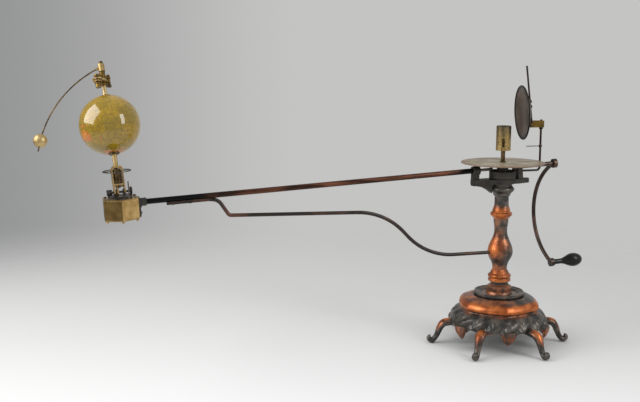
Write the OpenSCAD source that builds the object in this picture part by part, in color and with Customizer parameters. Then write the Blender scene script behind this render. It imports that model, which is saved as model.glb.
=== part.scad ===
// Tellurion: a crank-driven model of the earth and moon going round a candle sun.
// Origin on the table under the column axis, arm along -X, crank on +X, +Z up, millimetres.

/* [Base] */
// Radius of the circle through the six feet
foot_circle_r = 94.5; // [88:0.5:104]
// Turn of the legs from the arm direction, in degrees
base_turn = -14; // [-30:1:30]
// Height of the lower edge of the dome above the table
rim_z = 26; // [24:0.5:29]
// Height of the dome from its lower edge to its flat top
dome_h = 40; // [37:0.5:44]
// Corner radius of the copper band round the dome
band_r = 59; // [57:0.5:61]
// Corner radius of the swirled skirt below the band
skirt_r = 71; // [69:0.5:73]
// Thickness of the skirt wall at its lower edge
skirt_t = 8; // [6:0.5:9]
// Flutes in the swirled skirt
flute_count = 12; // [12:6:18]
// Depth of a flute
flute_depth = 1.6; // [0.6:0.1:2]
// Twist of the flutes from top to bottom, in degrees
flute_twist = 11; // [0:1:16]
// Length of the leaf pendants below the skirt edge
pendant_drop = 9; // [5:0.5:11]

/* [Pan] */
// Rim radius of the shallow pan on the dome
pan_r = 34.5; // [31:0.5:38]
// Height of the pan rim above the dome
pan_rim_h = 10.5; // [9:0.5:13]
// Radius of the foot flange inside the pan
flange_r = 17.1; // [16.5:0.1:19]
// Height of the foot flange top above the dome
flange_h = 19; // [18:0.5:22]

/* [Column] */
// Height of the turned column
column_h = 142.5; // [135:0.5:155]
// Largest radius of the vase
vase_r = 17.7; // [16:0.1:19]
// Radius of the narrow stem above the vase
stem_r = 9; // [9:0.1:10]
// Radius of the ball capital
capital_r = 17.1; // [16:0.1:18]
// Height of the brace above the column foot
brace_z = 44.5; // [40:0.5:50]
// Diameter of the fixed spindle inside the column
spindle_d = 12; // [10:0.5:12.5]
// Thickness of the thrust washer under the column
washer_t = 1.5; // [1:0.1:2.5]

/* [Head] */
// Thickness of the head plate
head_t = 6.5; // [5:0.5:8]
// Reach of the head towards the arm
head_reach = 46; // [42:0.5:52]
// Reach of the head towards the crank
tail_reach = 40; // [36:0.5:44]
// Length of the arm ear along the arm
ear_len = 10; // [8:0.5:12]
// Length of the crank ear along the shaft
fork_len = 7; // [5:0.5:9]

/* [Arm] */
// Drop of the arm from level, in degrees
arm_droop = 3; // [2:0.1:4]
// Distance from the column axis to the earth gearbox, along the arm
arm_len = 526; // [500:1:560]
// Outside diameter of the arm tube
arm_tube_d = 7.2; // [6.8:0.1:8]
// Wall of the arm tube
arm_wall = 1; // [0.8:0.1:1.2]
// Diameter of the drive shaft
drive_d = 4; // [3.6:0.1:4.2]
// Diameter of the brace rod
brace_d = 5; // [4:0.1:6]
// Length of the brace foot under the arm
brace_foot = 57; // [45:1:70]
// Distance from the gearbox back to the first bend of the brace
brace_back = 113; // [100:1:130]
// Drop of the straight brace below the arm tube, at its far bend
brace_drop = 27; // [22:0.5:32]
// Distance from the column to the middle of the S in the brace
brace_mid = 143; // [130:1:156]
// Length of the S in the brace, before its bends
brace_sway = 62; // [56:1:70]

/* [Wheels] */
// Tooth size of the main wheels
main_module = 0.75; // [0.7:0.01:0.78]
// Teeth of the fixed contrate wheel and of the earth crown wheel
main_teeth = 46; // [44:2:46]
// Leaves of the pinions on the drive shaft
drive_leaves = 8; // [8:1:9]
// Leaves of the crank pinion
crank_leaves = 13; // [12:1:14]
// Width of the contrate teeth
main_face = 2.4; // [2:0.1:2.6]
// Tooth size of the moon ring and its roller
ring_module = 0.7; // [0.66:0.01:0.74]
// Teeth of the moon ring
ring_teeth = 40; // [38:1:41]
// Leaves of the roller pinion
roller_leaves = 14; // [13:1:15]
// Tooth size of the small moon wheels
moon_module = 0.5; // [0.48:0.01:0.52]
// Teeth of the contrate wheel on the cross arbor
cross_teeth = 25; // [24:1:26]
// Leaves of the pinion on the inner arbor
inner_leaves = 8; // [8:1:9]

/* [Gearbox] */
// Side length of the hexagonal box
box_side = 24.6; // [24.6:0.1:27]
// Height of the box under its lid
box_h = 23.5; // [21:0.5:27]
// Wall of the box
box_wall = 1.6; // [1.2:0.1:1.8]
// Thickness of the lid
lid_t = 1.6; // [1.4:0.1:2.4]
// Height of the index pin above the lid
index_h = 22; // [16:0.5:26]

/* [Earth] */
// Diameter of the globe
globe_d = 77; // [72:0.5:80]
// Wall of the globe
globe_wall = 1.6; // [1.2:0.1:3]
// Tilt of the earth axis, in degrees
axis_tilt = 23.5; // [20:0.5:26]
// Turn of the tilted axis round the gearbox, in degrees
yoke_angle = 5; // [0:1:12]
// Globe centre above the cross arbor, along the tilted axis
globe_s = 89; // [86:0.5:94]
// Diameter of the spindle tube through the globe
tube_d = 5; // [4.6:0.1:5.4]
// Diameter of the inner arbor
arbor_d = 2.5; // [2.2:0.1:2.8]
// Width of the yoke arch
arch_w = 14.6; // [14.2:0.1:16]
// Top of the yoke arch above the cross arbor, along the tilted axis
arch_h = 33; // [30:0.5:38]
// Outer diameter of the hour ring
hour_ring_d = 36; // [32:0.5:40]

/* [Moon] */
// Diameter of the moon ball
moon_d = 17.3; // [14:0.1:20]
// Distance of the moon from the earth axis
moon_reach = 87; // [82:0.5:92]
// Drop of the moon below the globe centre
moon_drop = 13.5; // [8:0.5:20]
// Radius of the moon wire's curve
wire_curve_r = 160; // [140:1:190]
// Diameter of the moon wire
wire_d = 1.8; // [1.4:0.1:2.2]

/* [Sun] */
// Diameter of the calendar disc
disc_d = 116; // [110:1:116]
// Thickness of the calendar disc
disc_t = 1.2; // [0.8:0.1:2]
// Height of the candle stem above the disc
stem_h = 16.7; // [14:0.1:20]
// Outside diameter of the candle socket
socket_d = 20.4; // [19:0.1:22]
// Wall of the candle socket
socket_wall = 0.9; // [0.6:0.1:1.2]
// Height of the candle socket
socket_h = 34; // [30:0.5:40]
// Width of the slot in the socket
slot_w = 3.5; // [2:0.1:5]

/* [Reflector] */
// Distance of the post from the column axis
post_x = 60.5; // [60.2:0.1:61]
// Height of the swivel block above the disc
block_z = 47; // [44:0.5:50]
// Diameter of the post
post_d = 3; // [2.6:0.1:3.2]
// Diameter of the mirror
mirror_d = 76.5; // [70:0.5:80]
// Depth of the mirror dish
dish_depth = 9; // [6:0.5:10]
// Height of the mirror centre above the rod pivot
mirror_h = 17; // [15:0.5:24]
// Length of the mirror rod above its pivot
rod_len = 82; // [70:1:95]
// Lean of the mirror rod towards the candle, in degrees
rod_lean = 7; // [4:0.5:10]
// Turn of the mirror back from its rod, in degrees
mirror_back = 4.5; // [0:0.5:6]
// Turn of the reflector round its post, in degrees
reflector_turn = 12; // [0:1:18]

/* [Crank] */
// Distance of the crank hub from the column axis
crank_x = 80.5; // [79.5:0.5:86]
// Throw of the crank
crank_throw = 144; // [134:1:148]
// Set of the crank's lower end towards the column
crank_tuck = 6; // [2:0.5:7]
// Bow of the crank arm towards the column
bow_in = 5; // [3:0.5:5.5]
// Bow of the crank arm sideways
bow_back = 47; // [36:0.5:50]
// Diameter of the crank shaft
crank_d = 6.3; // [5.8:0.1:6.6]
// Diameter of the crank arm
crank_arm_d = 5.6; // [5:0.1:6]
// Length of the handle
handle_len = 46; // [40:0.5:50]
// Largest diameter of the handle
handle_d = 19.4; // [17:0.1:22]

/* [Hidden] */
$fn = 64;

// Clearances
run_gap = 0.05;   // round running fits
end_gap = 0.3;    // flat faces that slide past each other
swing_gap = 0.6;  // pieces that sweep past each other

// Tooth form, in shares of the tooth size
tip_share = 0.8;
root_share = 1.1;
tooth_share = 0.42;  // tooth width at the pitch line, as a share of the pitch
flank = 0.3;         // how far a contrate flank leans for each unit of height
root_grip = 0.1;     // depth that a contrate tooth is let into its rim

// Height stack at the column axis
dome_top = rim_z + dome_h;
pan_top = dome_top + flange_h + 1.9;
column_z = pan_top + washer_t + run_gap;
column_top = column_z + column_h;
head_top = column_top + head_t;
spindle_r = spindle_d / 2;

// Main wheels
main_r = main_teeth * main_module / 2;
drive_r = drive_leaves * main_module / 2;
crank_r = crank_leaves * main_module / 2;
wheel_out = main_r + main_face / 2;
wheel_in = main_r - main_face / 2;
wheel_z = head_top + 1;
wheel_web = 3;
wheel_rim_h = 10;
pitch_z = wheel_z + wheel_rim_h;
shaft_z = pitch_z + drive_r + main_r * tan(arm_droop);
crank_z = pitch_z + crank_r - main_r * tan(arm_droop);
disc_z = pitch_z + 2 * crank_r + tip_share * main_module + main_face * tan(arm_droop) + swing_gap;
wheel_hub_r = spindle_r + 2;
pinion_len = main_face - 0.2;

// Stations along the arm, in the arm's own frame
pinion_in = main_r - pinion_len / 2;
pinion_out = main_r + pinion_len / 2;
crank_nose_r = 2.2;
drive_nose_r = 1.4;
tube_r = arm_tube_d / 2;
screw_x = spindle_r + 4;
drive_shaft_r = drive_d / 2;
ear_x = -head_reach + ear_len;
fork_x = wheel_out + 3.5;
box_flat = box_side * cos(30);
flange_t = 2.4;
boss_len = 8;
bush_len = 9;

// Gearbox heights, from the drive shaft axis
crown_t = 2;
crown_z = drive_r + root_share * main_module;
lid_z = crown_z + crown_t + end_gap;
lid_top = lid_z + lid_t;
floor_t = 1.6;
box_z = lid_z - box_h;
yoke_tube_r = 4.5;
yoke_pivot_r = 2.15;

// Moon ring and cross arbor, from the drive shaft axis
ring_r = ring_teeth * ring_module / 2;
roller_r = roller_leaves * ring_module / 2;
ring_face = 2.2;
ring_t = 1.8;
ring_pitch_z = lid_top + ring_t + root_share * ring_module;
cross_z = ring_pitch_z + roller_r;
cross_shaft_r = 1.5;
hub_z = lid_top + end_gap;
hub_t = 2.2;
hub_r = ring_r - ring_face / 2 - swing_gap;

// Tilted axis stations, from the cross arbor
cross_r = cross_teeth * moon_module / 2;
inner_r = inner_leaves * moon_module / 2;
inner_face = 1.2;
arbor_r = arbor_d / 2;
arbor_end = cross_r - inner_face / 2 - 0.2;
bridge_s = cross_r + inner_face / 2 + 0.7;
bridge_t = 2;
tube_r_out = tube_d / 2;
globe_r = globe_d / 2;
arch_t = 1.6;
arch_depth = 9;
arch_top_t = 2.6;
arch_round = 3.6;
leg_in = arch_w / 2 - arch_t;
lug_t = 1.7;
lug_in = leg_in - lug_t;
sleeve_r = 3;
pole_r = 4;
cap_r = 7;
cap_t = 1.2;
south_s = globe_s - globe_r;
north_s = globe_s + globe_r;
plate_s = north_s + 15;
plate_t = 2;
level_gap = 0.9;
wheel_t = 2;
level_one = plate_s + plate_t + level_gap;
level_two = level_one + wheel_t + level_gap;
upper_s = level_two + wheel_t + level_gap + 2;
upper_t = 2.5;
collar_t = 6;
moon_boss_s = upper_s + upper_t + collar_t + end_gap;
moon_boss_h = 10;
moon_boss_r = 4.1;
moon_tube_r = 2.4;
moon_cap_h = 4;
head_teeth = 20;
idler_low_teeth = 20;
idler_high_teeth = 24;
moon_teeth = 16;
idler_dist = (idler_high_teeth + moon_teeth) * moon_module / 2;
idler_angle = 217;
idler_r = 1.4;
bracket_post_r = 2.2;
wire_r = wire_d / 2;
wire_s = moon_boss_s + 2.6;
wire_tail = 14;
post_dist = 9.5;

// Sun group heights
disc_top = disc_z + disc_t;
socket_z = disc_top + stem_h;
socket_r = socket_d / 2;
socket_bore = socket_r - socket_wall;
plug_h = 5;
candle_stem_r = 3;
stub_r = 1.6;
slot_turn = -117;

// Reflector stations, from the post
post_r = post_d / 2;
post_y = crank_d / 2 + post_r + 0.9;
post_leg_z = head_top + 9.5;
block_h = 9.6;
block_low = disc_top + block_z;
block_w = 6.5;
block_len = 20.8;
block_right = 3.4;
pivot_r = 1.2;
pivot_at = -14.7;
pivot_z = block_low + block_h / 2;
eye_r = 2.9;
eye_t = 3;
rod_r = 1.3;
rod_y = -block_w / 2 - end_gap - eye_t / 2;
mirror_off = 13.5;
mirror_t = 1.2;
dish_r = ((mirror_d / 2) ^ 2 + dish_depth ^ 2) / (2 * dish_depth);
clip_h = [8, 15];
needle_z = 20.7;
needle_len = 22;

// Handle and crank
crank_shaft_r = crank_d / 2;
hub_boss_r = 6.5;
hub_boss_len = 5;
collar_r = 6;
collar_len = 5;
pin_r = 2.5;
bow = norm([bow_in, bow_back]);
bow_angle = atan2(bow_back, -bow_in);
crank_chord = norm([crank_throw, crank_tuck]);
bow_r = ((crank_chord / 2) ^ 2 + bow ^ 2) / (2 * bow);
bow_half = asin(crank_chord / 2 / bow_r);
collar_x = crank_x - crank_tuck;
handle_x = collar_x + collar_len / 2;

// Colours as photographed
iron = "#3b3a38";
bronze = "#5b4436";
brass = "#b08d4b";
dark_brass = "#6f5a2c";
steel = "#7d7b77";
tan_card = "#b5a582";
ochre = "#bda14f";
black_wood = "#1d1b1a";

// Smooth step between two radii
function ease(a, b, t) = a + (b - a) * (1 - cos(180 * t)) / 2;

// Points of a turned profile: keys are [radius, height, steps to the next key]
function turned(keys) = [
    for (i = [0 : len(keys) - 2], j = [0 : keys[i][2] - 1])
        let (t = j / keys[i][2])
        [ease(keys[i][0], keys[i + 1][0], t), keys[i][1] + (keys[i + 1][1] - keys[i][1]) * t],
    [keys[len(keys) - 1][0], keys[len(keys) - 1][1]]
];

// Frames: along the arm, along the crank shaft, at the gearbox, on the yoke, on the tilted axis,
// on the moon's side of that axis, on the idler, on the reflector post, on the mirror rod
module on_arm() translate([0, 0, shaft_z]) rotate([0, -arm_droop, 0]) children();
module on_crank() translate([0, 0, crank_z]) rotate([0, -arm_droop, 0]) children();
module at_box() on_arm() translate([-arm_len, 0, 0]) children();
module on_yoke() at_box() rotate([0, 0, yoke_angle]) children();
module on_axis() on_yoke() translate([0, 0, cross_z]) rotate([-axis_tilt, 0, 0]) children();
module on_moon() on_axis() rotate([0, 0, 180]) children();
module at_idler() rotate([0, 0, idler_angle]) translate([idler_dist, 0, 0]) children();
module on_post() translate([post_x, post_y, 0]) rotate([0, 0, -reflector_turn]) children();
module on_rod() on_post() translate([pivot_at, rod_y, pivot_z]) rotate([0, -rod_lean, 0]) children();

// A round bar and a tube along X
module bar_x(x0, x1, r) translate([x0, 0, 0]) rotate([0, 90, 0]) cylinder(r = r, h = x1 - x0);
module tube_x(x0, x1, r, bore) difference() {
    bar_x(x0, x1, r);
    bar_x(x0 - 1, x1 + 1, bore);
}

// A tube along Z
module tube_z(z0, z1, r, bore) translate([0, 0, z0]) difference() {
    cylinder(r = r, h = z1 - z0);
    translate([0, 0, -1]) cylinder(r = bore, h = z1 - z0 + 2);
}

// Toothed outline with a gap at the given angle
module tooth_outline(teeth, size, gap_angle) {
    pitch_r = teeth * size / 2;
    tip_r = pitch_r + tip_share * size;
    root_r = pitch_r - root_share * size;
    half = 180 * tooth_share / teeth;
    tip_half = half * 0.5;
    root_half = half * 1.35;
    start = gap_angle + 180 / teeth;
    polygon([
        for (i = [0 : teeth - 1], p = [[-root_half, root_r], [-tip_half, tip_r],
                                       [tip_half, tip_r], [root_half, root_r]])
            let (a = start + i * 360 / teeth + p[0])
            p[1] * [cos(a), sin(a)]
    ]);
}

// Pinion along X and wheel along Z, each with a bore
module pinion_x(x0, len, teeth, size, gap_angle, bore)
    translate([x0, 0, 0]) rotate([90, 0, 90]) linear_extrude(len) difference() {
        tooth_outline(teeth, size, gap_angle);
        circle(r = bore);
    }
module gear_z(z0, len, teeth, size, gap_angle, bore)
    translate([0, 0, z0]) linear_extrude(len) difference() {
        tooth_outline(teeth, size, gap_angle);
        circle(r = bore);
    }

// Contrate teeth standing up from the pitch plane at z = 0, one of them at angle 0
module contrate_teeth(teeth, size, face) {
    pitch_r = teeth * size / 2;
    half = PI * size * tooth_share / 2;
    tip = tip_share * size;
    root = root_share * size + root_grip;
    for (i = [0 : teeth - 1])
        rotate([0, 0, i * 360 / teeth]) translate([pitch_r - face / 2, 0, 0])
            rotate([90, 0, 90]) linear_extrude(face) polygon([
                [-half - flank * root, -root], [half + flank * root, -root],
                [half - flank * tip, tip], [-half + flank * tip, tip]
            ]);
}

// Round rod from the origin along X: straight runs, each but the last followed by a bend in the XZ plane.
// A bend is a hair thicker than the runs, which reach a little way into it.
bend_swell = 0.05;
bend_lap = 0.4;
module rod_run(runs, turns, bends, r, i = 0) {
    before = i > 0 ? bend_lap : 0;
    after = i < len(turns) ? bend_lap : 0;
    translate([-before, 0, 0]) rotate([0, 90, 0]) cylinder(r = r, h = before + runs[i] + after);
    if (i < len(turns)) {
        side = sign(turns[i]);
        translate([runs[i], 0, side * bends[i]]) {
            rotate([90, 0, 0]) rotate([0, 0, side > 0 ? -90 : 90 + turns[i]])
                rotate_extrude(angle = abs(turns[i])) translate([bends[i], 0]) circle(r = r + bend_swell);
            rotate([0, -turns[i], 0]) translate([0, 0, -side * bends[i]])
                rod_run(runs, turns, bends, r, i + 1);
        }
    }
}

// Round rod along a path of [x, z] points, with a bend radius at each inner point
module bent_rod(points, bends, r) {
    n = len(points);
    dirs = [for (i = [0 : n - 2]) (points[i + 1] - points[i]) / norm(points[i + 1] - points[i])];
    turns = [for (i = [1 : n - 2])
        atan2(dirs[i - 1].x * dirs[i].y - dirs[i - 1].y * dirs[i].x, dirs[i - 1] * dirs[i])];
    cuts = [0, for (i = [0 : n - 3]) bends[i] * tan(abs(turns[i]) / 2), 0];
    runs = [for (i = [0 : n - 2]) norm(points[i + 1] - points[i]) - cuts[i] - cuts[i + 1]];
    translate([points[0].x, 0, points[0].y]) rotate([0, -atan2(dirs[0].y, dirs[0].x), 0])
        rod_run(runs, turns, bends, r);
}

// Slotted round screw head standing on z = 0
module screw_head(r, h) difference() {
    cylinder(r = r, h = h);
    translate([-r - 1, -r * 0.15, h * 0.6]) cube([2 * r + 2, r * 0.3, h]);
}

// Base casting

// Share of the corner radius at an angle from a leg, on a soft hexagon
function hexed(a, soft) = 1 - soft + soft * cos(30) / cos((a + 390) % 60 - 30);
// Leaf pendants hang at the hexagon corners, between the legs
function leaf(a) = max(0, 1 - abs((a + 360) % 60 - 30) / 10);
// The edge arches up between each leg and its neighbouring pendant
function arch_up(a) = 3.2 * pow(sin(6 * a), 2);

// Rows of the dome: [radius, height, hexagon share, flute share, turn, pendant share]
dome_hole = spindle_r + 4;
dome_seat = dome_hole + 10;
dome_roof = 12;
dome_rows = [
    [dome_hole, dome_top, 0, 0, 0, 0],
    [pan_r - 2, dome_top, 0, 0, 0, 0],
    [pan_r + 7, dome_top - 2.5, 0.4, 0, 0, 0],
    [band_r - 9, dome_top - 4.5, 0.6, 0, 0, 0],
    [band_r - 4.5, dome_top - 6.5, 0.6, 0, 0, 0],
    [band_r - 1.2, dome_top - 10, 0.6, 0, 0, 0],
    [band_r, dome_top - 14.5, 0.6, 0, 0, 0],
    [band_r - 1.2, dome_top - 19, 0.6, 0, 0, 0],
    [band_r - 4, dome_top - 21.5, 0.6, 0, 0, 0],
    [band_r - 0.5, dome_top - 23, 0.6, 0.3, 0, 0],
    [skirt_r - 5.5, dome_top - 25, 0.5, 0.8, 0.15, 0],
    [skirt_r - 1.6, rim_z + 11.3, 0.45, 1, 0.45, 0],
    [skirt_r, rim_z + 7, 0.4, 1, 0.75, 0],
    [skirt_r - 0.8, rim_z + 3, 0.35, 0.5, 1, 0.4],
    [skirt_r - 3, rim_z, 0.3, 0, 1, 1],
    [skirt_r - skirt_t, rim_z, 0.3, 0, 1, 1],
    [skirt_r - skirt_t - 2, rim_z + 6, 0.3, 0, 0, 0],
    [band_r - 14, dome_top - dome_roof - 8, 0.4, 0, 0, 0],
    [dome_seat, dome_top - dome_roof, 0, 0, 0, 0],
    [dome_hole, dome_top - dome_roof, 0, 0, 0, 0]
];
dome_steps = 90;

function dome_point(row, a) =
    let (
        flute = flute_depth * row[3] * (abs(sin(flute_count / 2 * (a + flute_twist * row[4]))) - 0.6),
        r = row[0] * hexed(a, row[2]) + flute,
        z = row[1] + row[5] * (arch_up(a) - pendant_drop * leaf(a)),
        turned_a = a + base_turn
    )
    [r * cos(turned_a), r * sin(turned_a), z];

module dome() {
    rows = len(dome_rows);
    points = [for (row = dome_rows, j = [0 : dome_steps - 1]) dome_point(row, j * 360 / dome_steps)];
    faces = [
        for (i = [0 : rows - 1], j = [0 : dome_steps - 1])
            let (
                a = i * dome_steps + j,
                b = i * dome_steps + (j + 1) % dome_steps,
                c = ((i + 1) % rows) * dome_steps + (j + 1) % dome_steps,
                d = ((i + 1) % rows) * dome_steps + j
            )
            each [[a, b, c], [a, c, d]]
    ];
    polyhedron(points = points, faces = faces);
}

// A cabriole leg: [reach, height, half thickness, half width] from the knee to the curled toe
leg_path = [
    [skirt_r - 5.9, rim_z + 5, 4.8, 6.8],
    [foot_circle_r - 21.5, rim_z + 4.6, 5.2, 7],
    [foot_circle_r - 15.5, rim_z + 2.6, 5.2, 6.8],
    [foot_circle_r - 11.5, rim_z - 2.5, 4.8, 6],
    [foot_circle_r - 8.8, rim_z - 9, 4.3, 5],
    [foot_circle_r - 6.6, rim_z - 14.5, 3.8, 4.4],
    [foot_circle_r - 3.6, 6.6, 3.7, 4.4],
    [foot_circle_r, 3.6, 4, 4.8],
    [foot_circle_r + 3.1, 4.8, 3.4, 4.2],
    [foot_circle_r + 4.8, 6, 2, 2.8]
];
leg_sides = 12;

// Ring i of the leg, square to the path; no point is below the table
function leg_ring(i) =
    let (
        p = leg_path[i],
        before = leg_path[max(0, i - 1)],
        after = leg_path[min(len(leg_path) - 1, i + 1)],
        span = [after[0] - before[0], after[1] - before[1]],
        along = span / norm(span)
    )
    [
        for (j = [0 : leg_sides - 1])
            let (a = (j + 0.5) * 360 / leg_sides, lift = p[2] * cos(a))
            [p[0] - along.y * lift, p[3] * sin(a), max(0, p[1] + along.x * lift)]
    ];

module leg() {
    rings = len(leg_path);
    points = [for (i = [0 : rings - 1]) each leg_ring(i)];
    faces = [
        [for (j = [leg_sides - 1 : -1 : 0]) j],
        for (i = [0 : rings - 2], j = [0 : leg_sides - 1])
            let (
                a = i * leg_sides + j,
                b = i * leg_sides + (j + 1) % leg_sides,
                c = b + leg_sides,
                d = a + leg_sides
            )
            each [[a, b, c], [a, c, d]],
        [for (j = [0 : leg_sides - 1]) (rings - 1) * leg_sides + j]
    ];
    polyhedron(points = points, faces = faces);
}

module base_casting() color(iron) {
    dome();
    for (k = [0 : 5]) rotate([0, 0, base_turn + 60 * k]) leg();
}

// Stand pieces

module base_pan() color(bronze) rotate_extrude() polygon(concat(
    [[spindle_r, dome_top]],
    turned([
        [pan_r - 3, dome_top, 4],
        [pan_r, dome_top + pan_rim_h - 3, 1],
        [pan_r, dome_top + pan_rim_h, 1],
        [pan_r - 1.8, dome_top + pan_rim_h, 3],
        [pan_r - 8, dome_top + pan_rim_h - 3.4, 1],
        [flange_r + 1.5, dome_top + pan_rim_h - 3.4, 2],
        [flange_r, dome_top + pan_rim_h + 0.5, 1],
        [flange_r, dome_top + flange_h - 1.5, 2],
        [flange_r - 1.8, dome_top + flange_h, 1],
        [flange_r - 4.6, dome_top + flange_h, 1],
        [flange_r - 4.6, pan_top, 1],
        [spindle_r, pan_top, 1]
    ])
));

module thrust_washer() color(brass) tube_z(pan_top, pan_top + washer_t, flange_r - 5, spindle_r);

nut_washer_t = 2.5;
nut_h = 10;
module spindle() color(steel) {
    spindle_low = dome_top - dome_roof - nut_washer_t - nut_h - 2;
    translate([0, 0, spindle_low]) cylinder(r = spindle_r, h = disc_z - spindle_low);
    translate([0, 0, disc_z]) cylinder(r = stub_r, h = disc_t + 6);
}

module spindle_nut() color(steel) {
    nut_top = dome_top - dome_roof - nut_washer_t;
    tube_z(nut_top, dome_top - dome_roof, dome_seat - 2, spindle_r);
    translate([0, 0, nut_top - nut_h]) difference() {
        cylinder(r = spindle_d, h = nut_h, $fn = 6);
        translate([0, 0, -1]) cylinder(r = spindle_r, h = nut_h + 2);
    }
}

module contrate_wheel() color(iron) {
    rim_top = pitch_z - root_share * main_module;
    tube_z(wheel_z, wheel_z + wheel_web, wheel_out, spindle_r);
    tube_z(wheel_z + wheel_web, rim_top, wheel_out, wheel_in);
    tube_z(wheel_z + wheel_web, disc_z, wheel_hub_r, spindle_r);
    translate([0, 0, pitch_z]) contrate_teeth(main_teeth, main_module, main_face);
}

module calendar_disc() color(tan_card) tube_z(disc_z, disc_top, disc_d / 2, stub_r);

module candle_stem() color(dark_brass) difference() {
    union() {
        translate([0, 0, disc_top]) cylinder(r = candle_stem_r + 1.5, h = 1.2);
        translate([0, 0, disc_top]) cylinder(r = candle_stem_r, h = stem_h);
    }
    translate([0, 0, disc_top - 1]) cylinder(r = stub_r, h = 7);
}

// Cup for the candle, with a slot to push out the stub
module candle_socket() color(brass) difference() {
    translate([0, 0, socket_z]) cylinder(r = socket_r, h = socket_h);
    translate([0, 0, socket_z + plug_h]) cylinder(r = socket_bore, h = socket_h);
    rotate([0, 0, slot_turn]) translate([socket_bore - 1, -slot_w / 2, socket_z + plug_h])
        cube([socket_wall + 2, slot_w, socket_h / 2 - plug_h]);
}

// Column, head and arm

brace_end = -spindle_r - 4;

module column() color(iron) difference() {
    rotate_extrude() polygon(concat(
        [[0, column_z]],
        turned([
            [12.5, column_z, 1],
            [12.8, column_z + 2, 2],
            [15.8, column_z + 3.2, 2],
            [15.8, column_z + 6, 2],
            [15, column_z + 7, 2],
            [16.2, column_z + 10.5, 3],
            [12.4, column_z + 16, 3],
            [10.2, column_z + 20, 1],
            [10.4, column_z + 23, 8],
            [vase_r, column_z + brace_z, 9],
            [stem_r, column_z + brace_z + 31, 3],
            [stem_r + 1.4, column_top - 50, 2],
            [12.3, column_top - 47.5, 2],
            [15.1, column_top - 44.5, 2],
            [15.1, column_top - 42, 2],
            [12.4, column_top - 39.5, 4],
            [stem_r + 0.9, column_top - 29, 1],
            [stem_r + 0.9, column_top - 19, 2],
            [stem_r + 3, column_top - 15.5, 4],
            [capital_r, column_top - 8, 4],
            [13.6, column_top - 1.5, 1],
            [13.6, column_top, 1],
            [0, column_top, 1]
        ])
    ));
    translate([0, 0, column_z - 1]) cylinder(r = spindle_r + run_gap, h = column_h + 2);
    translate([0, 0, column_z + brace_z]) bar_x(-vase_r - 5, brace_end, brace_d / 2);
}

module head_plan() {
    circle(r = capital_r);
    polygon([
        [-head_reach, -5.5], [-20, -11.5], [20, -10.5], [tail_reach, -3],
        [tail_reach, 3], [20, 10.5], [-20, 11.5], [-head_reach, 5.5]
    ]);
}

gusset_len = head_reach - capital_r - 0.3;
gusset_h = 13;
gusset_w = 9;
gusset_top = 2;
cove_r = (gusset_len ^ 2 + (gusset_h - gusset_top) ^ 2) / (2 * (gusset_h - gusset_top));
module head_bracket() color(iron) difference() {
    union() {
        translate([0, 0, column_top]) linear_extrude(head_t) head_plan();
        // Arm ear, with its boss round the tube
        on_arm() bar_x(-head_reach, ear_x, tube_r + 2.6);
        translate([-head_reach, -4.5, column_top]) cube([ear_len - 1.2, 9, shaft_z - column_top - 2.6]);
        // Curved gusset under the arm ear, down to the capital
        translate([0, gusset_w / 2, 0]) rotate([90, 0, 0]) linear_extrude(gusset_w) difference() {
            translate([-head_reach, column_top - gusset_h]) square([gusset_len, gusset_h + 1]);
            translate([-head_reach, column_top - gusset_top - cove_r]) circle(r = cove_r);
        }
        // Crank ear, with its boss round the shaft
        on_crank() bar_x(fork_x, fork_x + fork_len, crank_shaft_r + 1.7);
        translate([fork_x, 0, head_top - 1]) rotate([90, 0, 90]) linear_extrude(fork_len)
            polygon([[-7, 0], [9, 0], [9, post_leg_z - head_top + 4], [4, crank_z - head_top],
                     [-4, crank_z - head_top]]);
    }
    on_arm() bar_x(-head_reach - 1, ear_x + 1, tube_r);
    on_crank() bar_x(fork_x - 1, fork_x + fork_len + 1, crank_shaft_r + run_gap);
    translate([0, 0, column_top - 1]) cylinder(r = spindle_r + run_gap, h = head_t + 2);
    for (s = [-1, 1]) translate([s * screw_x, 0, column_top - 1]) cylinder(r = 1.5, h = head_t + 2);
}

module head_screws() color(steel)
    for (s = [-1, 1]) translate([s * screw_x, 0, column_top]) cylinder(r = 1.5, h = head_t + 0.4);

tube_near = ear_x;
tube_far = -arm_len + box_flat + flange_t;
module arm_tube() color(bronze) on_arm() tube_x(tube_far, tube_near, tube_r, tube_r - arm_wall);

module arm_bushes() color(brass) on_arm() {
    tube_x(tube_near - bush_len, tube_near, tube_r - arm_wall, drive_shaft_r + run_gap);
    tube_x(tube_far, tube_far + bush_len, tube_r - arm_wall, drive_shaft_r + run_gap);
}

// Brace: foot under the arm, long straight run, sweep down to the vase of the column
brace_far = arm_len - brace_back;
function arm_height(x) = shaft_z + x * tan(arm_droop);
brace_foot_t = 3;
foot_saddle = 0.8;
rivet_r = 1.2;
rivet_x = [8, 30];
brace_leave = -brace_far + 11;
brace_points = [
    [-brace_far, arm_height(-brace_far) - tube_r / cos(arm_droop) - brace_foot_t / 2],
    [brace_leave, arm_height(brace_leave) - tube_r / cos(arm_droop) - brace_d / 2 - 0.4],
    [-brace_far + 25, arm_height(-brace_far) - brace_drop],
    [-brace_mid - brace_sway / 2, arm_height(-brace_far) - brace_drop - 5.5],
    [-brace_mid + brace_sway / 2, column_z + brace_z],
    [brace_end, column_z + brace_z]
];
brace_bends = [14, 6, 95, 95];
module at_brace_foot() on_arm()
    translate([-brace_far - brace_foot + 1, 0, -tube_r - brace_foot_t]) children();

module brace_rod() color(bronze) difference() {
    union() {
        bent_rod(brace_points, brace_bends, brace_d / 2);
        // Flattened foot, hollowed to the underside of the arm tube
        at_brace_foot() translate([0, -brace_d * 0.8, 0])
            cube([brace_foot, brace_d * 1.6, brace_foot_t + foot_saddle]);
    }
    at_brace_foot() {
        for (x = rivet_x) translate([x, 0, -1]) cylinder(r = rivet_r, h = brace_foot_t + 2);
        translate([brace_foot / 2, 0, tube_r + brace_foot_t]) bar_x(-brace_foot, brace_foot, tube_r);
    }
}

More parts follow.
